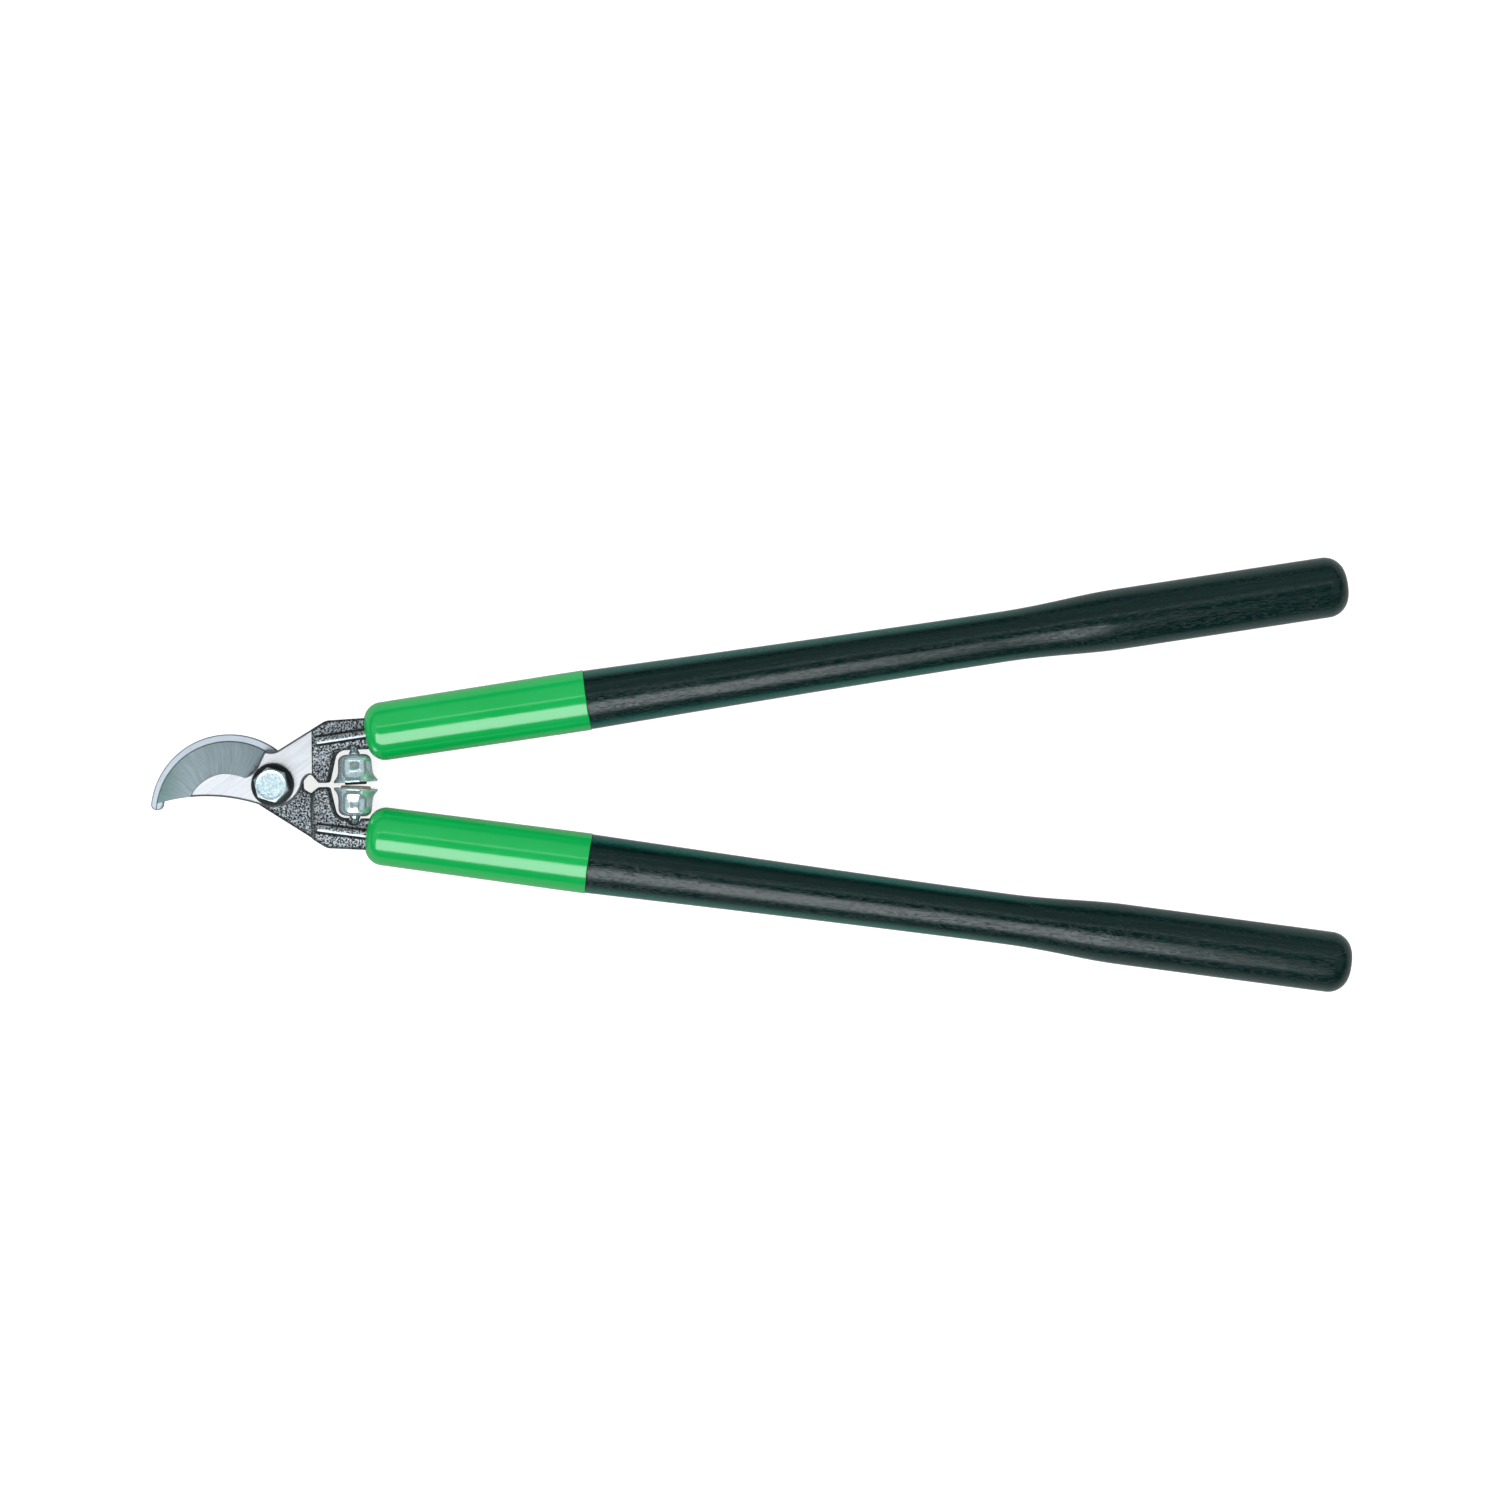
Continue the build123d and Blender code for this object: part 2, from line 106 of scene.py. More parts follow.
def roundedPath(corners, steps=8):
    # Points along straight runs between (along, radius) corners. A corner with a third value,
    # its rounding, is replaced by a quadratic curve whose ends lie that far away from it.
    path = []
    for place, corner in enumerate(corners):
        here = np.array(corner[:2], float)
        rounding = corner[2] if len(corner) > 2 else 0
        if not rounding:
            path.append(here[None])
            continue
        before = np.array(corners[place - 1][:2], float) - here
        after = np.array(corners[(place + 1) % len(corners)][:2], float) - here
        start = here + before / np.linalg.norm(before) * rounding
        end = here + after / np.linalg.norm(after) * rounding
        t = np.linspace(0, 1, steps)[:, None]
        path.append((1 - t) ** 2 * start + 2 * t * (1 - t) * here + t ** 2 * end)
    return np.concatenate(path)


def turnedPoints(axes, along, radius, turns):
    # Each point is the axis point at its place, plus its radius times the direction at its turn.
    start, ahead, across, up = axes
    around = np.cos(turns)[..., None] * up + np.sin(turns)[..., None] * across
    return start + (along[..., None] * ahead + radius[..., None] * around) * mm


def turnedPiece(name, axes, path, segments=96, wrapRows=False, sharpAngle=35):
    # A turned shape: a path of (along, radius) points carried once round an axis.
    turns = np.linspace(0, 2 * pi, segments, endpoint=False)
    along, turn = np.meshgrid(path[:, 0], turns, indexing="ij")
    radius = np.repeat(path[:, 1:2], segments, axis=1)
    return meshFromGrid(name, turnedPoints(axes, along, radius, turn), wrapRows, sharpAngle)


def handleAxes(side):
    # Start where the handle's axis passes X = 0, then its direction, across and up.
    grip = mounts[side + "_grip"]
    ahead = np.array(grip["axis"], float)
    ahead /= np.linalg.norm(ahead)
    start = np.array(grip["pos_m"]) - ahead * grip["pos_m"][0] / ahead[0]
    up = np.array([0.0, 0.0, 1.0])
    return start, ahead, np.cross(up, ahead), up


def pivotAxes():
    return np.zeros(3), np.array([0.0, 0.0, 1.0]), np.array([0.0, 1.0, 0.0]), np.array([1.0, 0.0, 0.0])


def dress(piece, material, body, slotName, *replaced):
    # Gives a finished piece its materials and body, and hides the CAD nodes it stands for. The slot name is not
    # used.
    if not isinstance(material, (list, tuple)):
        material = [material]
    for one in material:
        piece.data.materials.append(one)
    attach(piece, body)
    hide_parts(*replaced)


# Shader tools

class Signal:
    # One shader socket. Arithmetic on it adds Math nodes to its material.
    def __init__(self, recipe, socket):
        self.recipe = recipe
        self.socket = socket

    def math(self, operation, *others):
        inputs = {place: value for place, value in enumerate((self, *others))}
        return self.recipe.add("ShaderNodeMath", {"operation": operation}, inputs)

    def __add__(self, other): return self.math("ADD", other)
    def __mul__(self, other): return self.math("MULTIPLY", other)
    def __sub__(self, other): return self.math("SUBTRACT", other)
    def __truediv__(self, other): return self.math("DIVIDE", other)
    def __pow__(self, other): return self.math("POWER", other)
    __radd__ = __add__
    __rmul__ = __mul__

    def __rsub__(self, other):
        return self.recipe.add("ShaderNodeMath", {"operation": "SUBTRACT"}, {0: other, 1: self})


class Recipe:
    # One material: add() makes its nodes, surface() sets its shader.
    def __init__(self, name):
        self.material = bpy.data.materials.new(name)
        self.material.use_nodes = True
        self.tree = self.material.node_tree
        self.shader = self.tree.nodes["Principled BSDF"]
        self.coordinates = self.add("ShaderNodeTexCoord", output="Object")

    def add(self, kind, settings=None, inputs=None, output=0):
        # A node of this type; settings are set first, then socket values or links.
        node = self.tree.nodes.new(kind)
        for key, value in (settings or {}).items():
            if key == "stops":
                for place, (at, colour) in enumerate(value):
                    ramp = node.color_ramp.elements
                    stop = ramp[place] if place < len(ramp) else ramp.new(at)
                    stop.position = at
                    stop.color = (*colour, 1.0)
            else:
                setattr(node, key, value)
        for key, value in (inputs or {}).items():
            self.feed(node.inputs[key], value)
        return Signal(self, node.outputs[output])

    def feed(self, socket, value):
        if isinstance(value, Signal):
            self.tree.links.new(value.socket, socket)
        elif isinstance(value, (tuple, list)) and len(value) == 3 and socket.type == "RGBA":
            socket.default_value = (*value, 1.0)
        else:
            socket.default_value = value

    def place(self, centre=(0, 0, 0), turn=0.0, scale=(1, 1, 1)):
        # Object coordinates in millimetres about a centre, turned about Z, then scaled.
        return self.add("ShaderNodeMapping", {"vector_type": "TEXTURE"},
                        {"Vector": self.coordinates, "Location": [value * mm for value in centre],
                         "Rotation": (0, 0, turn), "Scale": [mm / value for value in scale]})

    def noise(self, vector, scale=1.0, detail=2.0, roughness=0.5, distortion=0.0):
        return self.add("ShaderNodeTexNoise", None, {"Vector": vector, "Scale": scale, "Detail": detail,
                                                     "Roughness": roughness, "Distortion": distortion})

    def cells(self, kind, scale, output=0, **values):
        inputs = {"Vector": self.place(), "Scale": scale, "Randomness": 1.0, **values}
        return self.add("ShaderNodeTexVoronoi", {"feature": kind}, inputs, output)

    def ramp(self, signal, low, high, fromColour=None, toColour=None):
        # Maps low..high to 0..1, held at both ends, or to a blend of two colours.
        mask = self.add("ShaderNodeMapRange", {"interpolation_type": "SMOOTHSTEP"},
                        {"Value": signal, "From Min": low, "From Max": high})
        return mask if fromColour is None else self.blend(mask, fromColour, toColour)

    def blend(self, mask, first, second):
        # Mixes two colours by a mask. Sockets 6 and 7 are the node's colours, output 2 its result.
        return self.add("ShaderNodeMix", {"data_type": "RGBA"}, {0: mask, 6: first, 7: second}, output=2)

    def split(self, vector):
        # The vector's three components.
        node = self.add("ShaderNodeSeparateXYZ", None, {0: vector}).socket.node
        return [Signal(self, socket) for socket in node.outputs]

    def join(self, x, y, z=0.0):
        return self.add("ShaderNodeCombineXYZ", None, {0: x, 1: y, 2: z})

    def nearEdge(self, width):
        # 1 within about this many millimetres of an outward edge: the share of short rays
        # cast into the steel that meet another face of the same piece.
        clear = self.add("ShaderNodeAmbientOcclusion", {"inside": True, "only_local": True, "samples": 16},
                         {"Distance": width * 2.2 * mm}, output="AO")
        return self.ramp(clear, 0.93, 0.83)

    def bump(self, height, distance):
        # A bump whose height of 1 stands for the given distance in millimetres.
        return self.add("ShaderNodeBump", None, {"Height": height, "Distance": distance * mm})

    def surface(self, **values):
        # Sets or links the shader's sockets, where baseColor stands for Base Color and so on.
        for key, value in values.items():
            words = "".join(" " + letter if letter.isupper() else letter for letter in key).title()
            words = words.replace("Ior", "IOR")
            self.feed(self.shader.inputs[words.strip()], value)
        return self.material


# Materials

def greenPlastic():
    # Glossy injection-moulded plastic: an even green, faint flow clouds, fine handling
    # scratches that follow the sleeve, and a slight orange peel.
    recipe = Recipe("greenPlastic")
    here = recipe.place()
    clouds = recipe.noise(recipe.place(scale=(0.02, 0.06, 0.06)), 1, 3, 0.55)
    colour = recipe.ramp(clouds, 0.3, 0.7, (0.0002, 0.318, 0.058), (0.0005, 0.336, 0.066))
    flecks = recipe.noise(here, 1.4, 2, 0.6)
    colour = recipe.blend(recipe.ramp(flecks, 0.66, 0.72) * 0.25, colour, (0.003, 0.35, 0.085))
    scratches = recipe.noise(recipe.place(scale=(0.05, 2.2, 2.2)), 1, 3, 0.7)
    peel = recipe.noise(here, 0.35, 2, 0.4)
    rough = 0.12 + recipe.ramp(scratches, 0.58, 0.75) * 0.14 + clouds * 0.06
    height = peel * 0.8 + recipe.ramp(scratches, 0.6, 0.75) * 0.35
    return recipe.surface(baseColor=colour, roughness=rough, ior=1.5, specularIorLevel=0.64,
                          normal=recipe.bump(height, 0.02))


def lacqueredWood(side):
    # Straight ash stained green-black under gloss lacquer: long dark pores, paler early wood
    # bands, and a figure that widens where the neck swells into the grip. Painted light: the
    # flanks are a brighter teal for the light thrown up from the floor, which fades out below
    # and towards the grip.
    recipe = Recipe("lacqueredWood_" + side)
    start, ahead = handleAxes(side)[:2]
    turn = atan2(ahead[1], ahead[0])
    centre = start / mm
    x, y, z = recipe.split(recipe.place(centre, turn))
    sway = recipe.noise(recipe.place(centre, turn, (0.012, 0.03, 0.03)), 1, 2, 0.5) * 3.2
    figure = recipe.ramp(x, 430, 475) * recipe.ramp(x, 530, 490)
    waves = recipe.noise(recipe.place(centre, turn, (0.11, 0.16, 0.16)), 1, 3, 0.6)
    ringPlace = y + sway + z * 0.22 + figure * waves * 7
    rings = recipe.noise(recipe.join(x * 0.004, ringPlace * 0.42, z * 0.05), 1, 3, 0.62)
    fibres = recipe.noise(recipe.join(x * 0.035, ringPlace * 3.4, z * 3.4), 1, 3, 0.65)
    pores = recipe.noise(recipe.join(x * 0.28, ringPlace * 2.1, z * 2.1), 1, 2, 0.6)
    early = recipe.ramp(rings, 0.42, 0.62)
    poreMask = recipe.ramp(pores, 0.53, 0.66) * (0.35 + early * 0.65)
    stainAndFlankLight = recipe.ramp(fibres, 0.3, 0.72, (0.0004, 0.0078, 0.0064), (0.0012, 0.0140, 0.0122))
    stainAndFlankLight = recipe.blend(early * 0.5, stainAndFlankLight, (0.0022, 0.0180, 0.0165))
    stainAndFlankLight = recipe.blend(poreMask * 0.8, stainAndFlankLight, (0.0002, 0.0032, 0.0027))
    radius = (y * y + z * z) ** 0.5
    # painted light: a brighter teal on the flanks stands in for light from the floor, weaker below and towards the
    # grip
    paintedFlankLight = recipe.ramp(z / radius, 0.74, 0.52) * (0.25 + recipe.ramp(z / radius, -0.3, 0.3) * 0.75)
    paintedFlankLight = paintedFlankLight * (0.25 + recipe.ramp(x, 500, 380) * 0.75)
    stainAndFlankLight = recipe.blend(paintedFlankLight * 0.9, stainAndFlankLight, (0.0010, 0.066, 0.052))
    rough = 0.06 + poreMask * 0.22 + fibres * 0.06
    height = fibres * 0.6 - poreMask * 1.1 + rings * 0.5
    normal = recipe.bump(height, 0.08)
    return recipe.surface(baseColor=stainAndFlankLight, roughness=rough, ior=1.5, specularIorLevel=0.33, normal=normal)


def forgedLook(recipe, dark, pale, edge, side):
    # Drop-forged and shot-blasted: a speckle of pits and bright peaks just under a millimetre
    # across, from two noises and rounded cells, over broad clouds. The ribs' crests are worn
    # bright, with a painted highlight along their -Y side, and painted shade darkens the hollows
    # beside them and a line along outward edges. Gives colour, roughness and height.
    here = recipe.place()
    coarse = recipe.noise(here, 0.95, 2, 0.55, 0.6)
    fine = recipe.noise(here, 2.6, 2, 0.6)
    clouds = recipe.noise(here, 0.06, 3, 0.6)
    cells = recipe.cells("SMOOTH_F1", 1.0, Smoothness=0.5)
    relief = coarse * 0.62 + fine * 0.18 + cells * 0.30
    start, ahead = handleAxes(side)[:2]
    along, across, height = recipe.split(recipe.place(start / mm, atan2(ahead[1], ahead[0])))
    beside = (across + (clouds - 0.5) * 0.8).math("ABSOLUTE")
    height = height.math("ABSOLUTE")
    onRib = recipe.ramp(along, tool["ribStart"] - 0.5, tool["ribStart"] + 0.8)
    crest = recipe.ramp(height, tool["ribTop"] - 0.35, tool["ribTop"] - 0.1) * onRib
    # painted shade: dark bands in the hollows on both sides of the ribs
    paintedHollowShade = recipe.ramp(beside, 1.6, 1.9) * recipe.ramp(beside, 3.9, 3.0) * onRib
    paintedHollowShade = paintedHollowShade * recipe.ramp(height, tool["shankHalf"] - 1.2, tool["shankHalf"] - 0.4) * (1 - crest)
    # painted highlight: a bright line along the ribs' -Y side, which faces the light; the pits and bump are
    # smoothed there too
    paintedCrestHighlight = crest * recipe.ramp(across, -0.5, -0.9)
    peaks = recipe.ramp(relief, 0.53, 0.62)
    pits = recipe.ramp(relief, 0.56, 0.46) * (1 - paintedCrestHighlight * 0.85)
    colour = recipe.ramp(clouds, 0.35, 0.65, dark, pale)
    colour = recipe.blend(crest * 0.4, colour, [value * 0.6 for value in edge])
    colour = recipe.blend(peaks * 0.9, colour, edge)
    colour = recipe.blend(pits * 0.95, colour, (0.006, 0.007, 0.008))
    colour = recipe.blend(paintedCrestHighlight * 0.85, colour, [value * 1.25 for value in edge])
    colour = recipe.blend(paintedHollowShade * 0.95, colour, (0.003, 0.004, 0.004))
    # painted shade: a dark line along the outward edges
    colour = recipe.blend(recipe.nearEdge(1.0) * (1 - crest) * 0.9, colour, (0.004, 0.007, 0.007))
    return colour, 0.5 - peaks * 0.10 + pits * 0.3 + paintedHollowShade * 0.3, relief * (1 - paintedCrestHighlight * 0.6)


def forgedSteel(name, dark, pale, edge, side):
    # The shanks' and the hook's back: nothing but the forged look.
    recipe = Recipe(name)
    colour, rough, relief = forgedLook(recipe, dark, pale, edge, side)
    return recipe.surface(baseColor=colour, metallic=0.6, roughness=rough, normal=recipe.bump(relief, 0.30))


def brushedFlat(name, tint, turn, rough):
    # Machined steel: fine straight brushing at one angle, a few deeper strokes, faint stains,
    # and painted shade as a dark line along outward edges.
    recipe = Recipe(name)
    strokes = recipe.noise(recipe.place(turn=turn, scale=(0.03, 3.4, 1)), 1, 4, 0.7)
    deep = recipe.noise(recipe.place((5, 3, 0), turn, (0.04, 1.5, 1)), 1, 2, 0.6)
    stains = recipe.noise(recipe.place(), 0.09, 3, 0.6)
    lines = recipe.ramp(deep, 0.60, 0.70)
    colour = recipe.ramp(strokes, 0.25, 0.75, [value * 0.72 for value in tint], tint)
    colour = recipe.blend(lines * 0.35, colour, [value * 0.55 for value in tint])
    colour = recipe.blend(recipe.ramp(stains, 0.55, 0.75) * 0.15, colour, (0.50, 0.53, 0.55))
    # painted shade: a dark line along the outward edges
    colour = recipe.blend(recipe.nearEdge(0.8) * 0.9, colour, (0.010, 0.016, 0.016))
    height = strokes * 0.6 - lines * 0.6
    return recipe.surface(baseColor=colour, metallic=1.0, roughness=rough + strokes * 0.1 + lines * 0.1,
                          normal=recipe.bump(height, 0.012))


def polar(recipe, centre=(0, 0), start=-1):
    # Distance from a centre in millimetres, and the turn round it from -X, or from +X for a
    # start of 1.
    x, y = recipe.split(recipe.place((*centre, 0)))[:2]
    return (x * x + y * y) ** 0.5, y.math("ARCTAN2", x * start)


def arcLook(recipe, tint, rough):
    # Ground along the jaws' curve: brushing that follows circles round their centre, with
    # small dark spots, painted shade as a dark line inside the rim's outer edge and along outward
    # edges, and a painted shadow with grime beside the blade's honed edge.
    radius, turn = polar(recipe, tool["jawCentre"])
    strokes = recipe.noise(recipe.join(radius * 3.6, turn * 2.4), 1, 4, 0.7)
    spots = recipe.noise(recipe.place(), 0.35, 4, 0.65)
    colour = recipe.ramp(strokes, 0.25, 0.75, [value * 0.80 for value in tint], tint)
    colour = recipe.blend(recipe.ramp(spots, 0.58, 0.72) * 0.2, colour, [value * 0.5 for value in tint])
    # painted shade: a dark line just inside the hook's outer rim
    rimOutlineShade = recipe.ramp(radius, tool["rimRadius"] - 0.75, tool["rimRadius"] - 0.1)
    # painted shadow and grime: a dark band round the honed edge's radius, where the blade's edge shades the rim
    bladeEdgeShadowAndGrime = recipe.ramp(radius, tool["edgeRadius"] + 0.7, tool["edgeRadius"] + 0.1)
    bladeEdgeShadowAndGrime = bladeEdgeShadowAndGrime * recipe.ramp(radius, tool["edgeRadius"] - 0.6, tool["edgeRadius"] - 0.2)
    colour = recipe.blend(rimOutlineShade * 0.6, colour, (0.06, 0.075, 0.08))
    colour = recipe.blend(bladeEdgeShadowAndGrime * 0.75, colour, (0.05, 0.07, 0.07))
    # painted shade: a dark line along the outward edges
    colour = recipe.blend(recipe.nearEdge(0.5) * 0.6, colour, (0.03, 0.06, 0.055))
    return colour, rough + strokes * 0.14, strokes


def arcBrushed(name, tint, rough):
    # The plates' edges: ground along the same circles as the hook.
    recipe = Recipe(name)
    colour, roughness, strokes = arcLook(recipe, tint, rough)
    normal = recipe.bump(strokes, 0.014)
    return recipe.surface(baseColor=colour, metallic=1.0, roughness=roughness, normal=normal)


def lapAndRim(tint, rough, dark, pale, edge):
    # The hook arm's front: brushed on the hook and under the blade's plate, left as forged on
    # the shoulder that the plate never covers.
    recipe = Recipe("lapAndRim")
    brushed, brushedRough, strokes = arcLook(recipe, tint, rough)
    forged, forgedRough, relief = forgedLook(recipe, dark, pale, edge, "hook")
    fromBoss = polar(recipe, tool["bossCentre"])[0]
    x, y = recipe.split(recipe.place())[:2]
    shoulder = recipe.ramp(fromBoss, tool["bossRadius"] - 0.2, tool["bossRadius"] + 0.2)
    shoulder = shoulder * recipe.ramp(y, 4, 2) * recipe.ramp(x, -22, -20)
    colour = recipe.blend(shoulder, brushed, forged)
    height = strokes * (1 - shoulder) * 0.05 + relief * shoulder
    return recipe.surface(baseColor=colour, metallic=1.0 - shoulder * 0.4,
                          roughness=brushedRough * (1 - shoulder) + forgedRough * shoulder,
                          normal=recipe.bump(height, 0.30))


def groundBevel():
    # The wheel-ground bevel: fine streaks that run out from the jaws' centre, slightly bowed,
    # with scratches between them. Duller and greener near the tip, darker at the heel, and
    # painted shade as a dark line along the honed edge, where blade and rim meet.
    recipe = Recipe("groundBevel")
    radius, turn = polar(recipe, tool["jawCentre"])
    bowed = turn + (radius - 34) ** 2 * 0.0003
    broad = recipe.noise(recipe.join(bowed * 12, radius * 0.03), 1, 3, 0.6)
    streaks = recipe.noise(recipe.join(bowed * 70, radius * 0.05, 3.0), 1, 3, 0.65)
    scratches = recipe.noise(recipe.join(bowed * 230, radius * 0.10, 7.0), 1, 2, 0.6)
    tone = broad * 0.2 + streaks * 0.36 + scratches * 0.44
    steel = recipe.ramp(tone, 0.34, 0.66, (0.31, 0.39, 0.42), (0.58, 0.69, 0.72))
    x = recipe.split(recipe.place())[0]
    tip = recipe.ramp(x, -46, -70)
    heel = recipe.ramp(x, -22, -6)
    steel = recipe.blend(tip * 0.75, steel, (0.16, 0.29, 0.26))
    steel = recipe.blend(heel * 0.5, steel, (0.22, 0.30, 0.32))
    # painted shade: a dark line just inside the honed edge, for the shaded gap between blade and rim
    honedEdgeShade = recipe.ramp(radius, tool["edgeRadius"] - 0.65, tool["edgeRadius"] - 0.15)
    steel = recipe.blend(honedEdgeShade * 0.8, steel, (0.06, 0.09, 0.09))
    height = streaks * 0.5 + scratches * 0.5
    return recipe.surface(baseColor=steel, metallic=1.0, roughness=0.34 + scratches * 0.14,
                          normal=recipe.bump(height, 0.012))


def platedSteel(name, tint, rough, dents):
    # Bright plating: soft mottling, small dents, fine handling scratches.
    recipe = Recipe(name)
    here = recipe.place()
    mottle = recipe.noise(here, 0.5, 4, 0.6)
    grain = recipe.noise(here, 3.5, 2, 0.5)
    wear = recipe.noise(recipe.place(scale=(0.3, 2.4, 2.4)), 1, 3, 0.7)
    marks = recipe.ramp(wear, 0.60, 0.70)
    colour = recipe.ramp(mottle, 0.35, 0.65, [value * 0.86 for value in tint], tint)
    colour = recipe.blend(marks * 0.2, colour, [value * 0.6 for value in tint])
    height = mottle * dents + grain * 0.12 - marks * 0.2
    return recipe.surface(baseColor=colour, metallic=0.78, roughness=rough + mottle * 0.08 + marks * 0.12,
                          normal=recipe.bump(height, 0.03))


def zincCrystals():
    # Zinc plating on the bolt and nut: noise blots from blue-grey to nearly white, tinted by
    # cells a little over a millimetre across that each have a random tone, and slightly wavy.
    recipe = Recipe("zincCrystals")
    here = recipe.place()
    waves = recipe.noise(here, 0.7, 2, 0.5)
    patch = recipe.split(recipe.cells("F1", 0.75, "Color"))[0]
    blot = recipe.noise(here, 0.9, 4, 0.65, 0.5)
    colour = recipe.ramp(blot, 0.38, 0.62, (0.44, 0.58, 0.62), (0.74, 0.86, 0.89))
    colour = recipe.blend(patch * 0.3, colour, (0.46, 0.62, 0.66))
    height = blot * 0.8 + waves * 0.5 + patch * 0.15
    return recipe.surface(baseColor=colour, metallic=0.95, roughness=0.30 + blot * 0.12,
                          normal=recipe.bump(height, 0.07))


def blackenedSteel():
    # Oil-blackened washer: near black, turned rings, bare metal glinting through in specks.
    recipe = Recipe("blackenedSteel")
    radius, turn = polar(recipe, start=1)
    rings = recipe.noise(recipe.join(radius * 4.5, turn * 0.8), 1, 3, 0.6)
    specks = recipe.ramp(recipe.noise(recipe.place(), 2.2, 3, 0.6), 0.62, 0.70)
    colour = recipe.ramp(rings, 0.3, 0.7, (0.002, 0.004, 0.004), (0.008, 0.013, 0.014))
    colour = recipe.blend(specks * 0.3, colour, (0.09, 0.11, 0.12))
    return recipe.surface(baseColor=colour, metallic=0.35, roughness=0.22 + rings * 0.16,
                          normal=recipe.bump(rings * 0.6 + specks * 0.3, 0.02))


def mouldedRubber(name, dark, pale):
    # Rubber: matt, with fine filler specks and a soft moulded skin.
    recipe = Recipe(name)
    here = recipe.place()
    skin = recipe.noise(here, 0.8, 3, 0.55)
    specks = recipe.ramp(recipe.noise(here, 4.0, 2, 0.5), 0.60, 0.70)
    colour = recipe.ramp(skin, 0.35, 0.65, dark, pale)
    colour = recipe.blend(specks * 0.3, colour, [value * 0.6 for value in dark])
    return recipe.surface(baseColor=colour, roughness=0.68 + skin * 0.15,
                          normal=recipe.bump(skin * 0.6 + specks * 0.4, 0.06))


def drawnSteel():
    # Plain drawn steel of the hidden ferrules and pins: noise stretched into fine lines.
    recipe = Recipe("drawnSteel")
    lines = recipe.noise(recipe.place(scale=(0.05, 3, 3)), 1, 3, 0.6)
    colour = recipe.ramp(lines, 0.3, 0.7, (0.36, 0.37, 0.38), (0.58, 0.59, 0.60))
    return recipe.surface(baseColor=colour, metallic=1.0, roughness=0.36 + lines * 0.15,
                          normal=recipe.bump(lines, 0.01))


def lockingPlastic():
    # The nut's locking ring: milky plastic with soft noise clouds.
    recipe = Recipe("lockingPlastic")
    here = recipe.place()
    milk = recipe.noise(here, 0.6, 3, 0.5)
    colour = recipe.ramp(milk, 0.3, 0.7, (0.55, 0.60, 0.66), (0.72, 0.76, 0.80))
    return recipe.surface(baseColor=colour, roughness=0.42 + milk * 0.12, normal=recipe.bump(milk, 0.02))


# the forged steel's colours: dark clouds, pale clouds, bright peaks
forged = {
    "blade": ((0.040, 0.046, 0.050), (0.070, 0.078, 0.084), (0.31, 0.35, 0.37)),
    "hook": ((0.046, 0.053, 0.057), (0.080, 0.089, 0.095), (0.34, 0.38, 0.40)),
    "front": ((0.046, 0.053, 0.057), (0.080, 0.089, 0.095), (0.33, 0.37, 0.39)),
    "back": ((0.075, 0.080, 0.087), (0.125, 0.130, 0.140), (0.38, 0.41, 0.44)),
}

finishes = {
    "green": greenPlastic(),
    "bladeWood": lacqueredWood("blade"),
    "hookWood": lacqueredWood("hook"),
    "forgedBlade": forgedSteel("forgedBlade", *forged["blade"], "blade"),
    "forgedHook": forgedSteel("forgedHook", *forged["hook"], "hook"),
    "forgedBack": forgedSteel("forgedBack", *forged["back"], "hook"),
    "plateEdge": arcBrushed("plateEdge", (0.42, 0.45, 0.47), 0.34),
    "machined": brushedFlat("machinedPlate", (0.80, 0.81, 0.83), radians(36), 0.34),
    "lapFlat": brushedFlat("lapFlat", (0.62, 0.65, 0.68), radians(-20), 0.34),
    "rim": lapAndRim((0.52, 0.57, 0.62), 0.36, *forged["front"]),
    "bevel": groundBevel(),
    "plated": platedSteel("platedCup", (0.67, 0.87, 0.90), 0.11, 1.0),
    "zinc": zincCrystals(),
    "black": blackenedSteel(),
    "blackRubber": mouldedRubber("blackRubber", (0.006, 0.006, 0.006), (0.014, 0.014, 0.015)),
    "tanRubber": mouldedRubber("tanRubber", (0.24, 0.20, 0.13), (0.36, 0.31, 0.22)),
    "drawn": drawnSteel(),
    "locking": lockingPlastic(),
}
print("stage: materials made,", len(finishes))


# Shapes shared by several pieces

def curvedPath(*runs, steps=8):
    # A smooth curve through each run's (along, radius) points, by Catmull-Rom's formula on
    # the four points round each span. The runs meet at sharp corners.
    path = []
    t = np.linspace(0, 1, steps, endpoint=False)[:, None, None]
    for run in runs:
        points = np.array(run, float)
        padded = np.concatenate([2 * points[:1] - points[1:2], points, 2 * points[-1:] - points[-2:-1]])
        a, b, c, d = padded[:-3], padded[1:-2], padded[2:-1], padded[3:]
        curve = 2 * b + (c - a) * t + (2 * a - 5 * b + 4 * c - d) * t ** 2
        curve = (curve + (3 * b - a - 3 * c + d) * t ** 3) / 2
        path.append(curve.transpose(1, 0, 2).reshape(-1, 2))
        path.append(points[-1:])
    return np.concatenate(path)


def smaller(first, second, softness):
    # The smaller of two values, with a rounded changeover that is as wide as the softness.
    share = np.clip(0.5 + (second - first) / (2 * softness), 0, 1)
    return second * (1 - share) + first * share - softness * share * (1 - share)


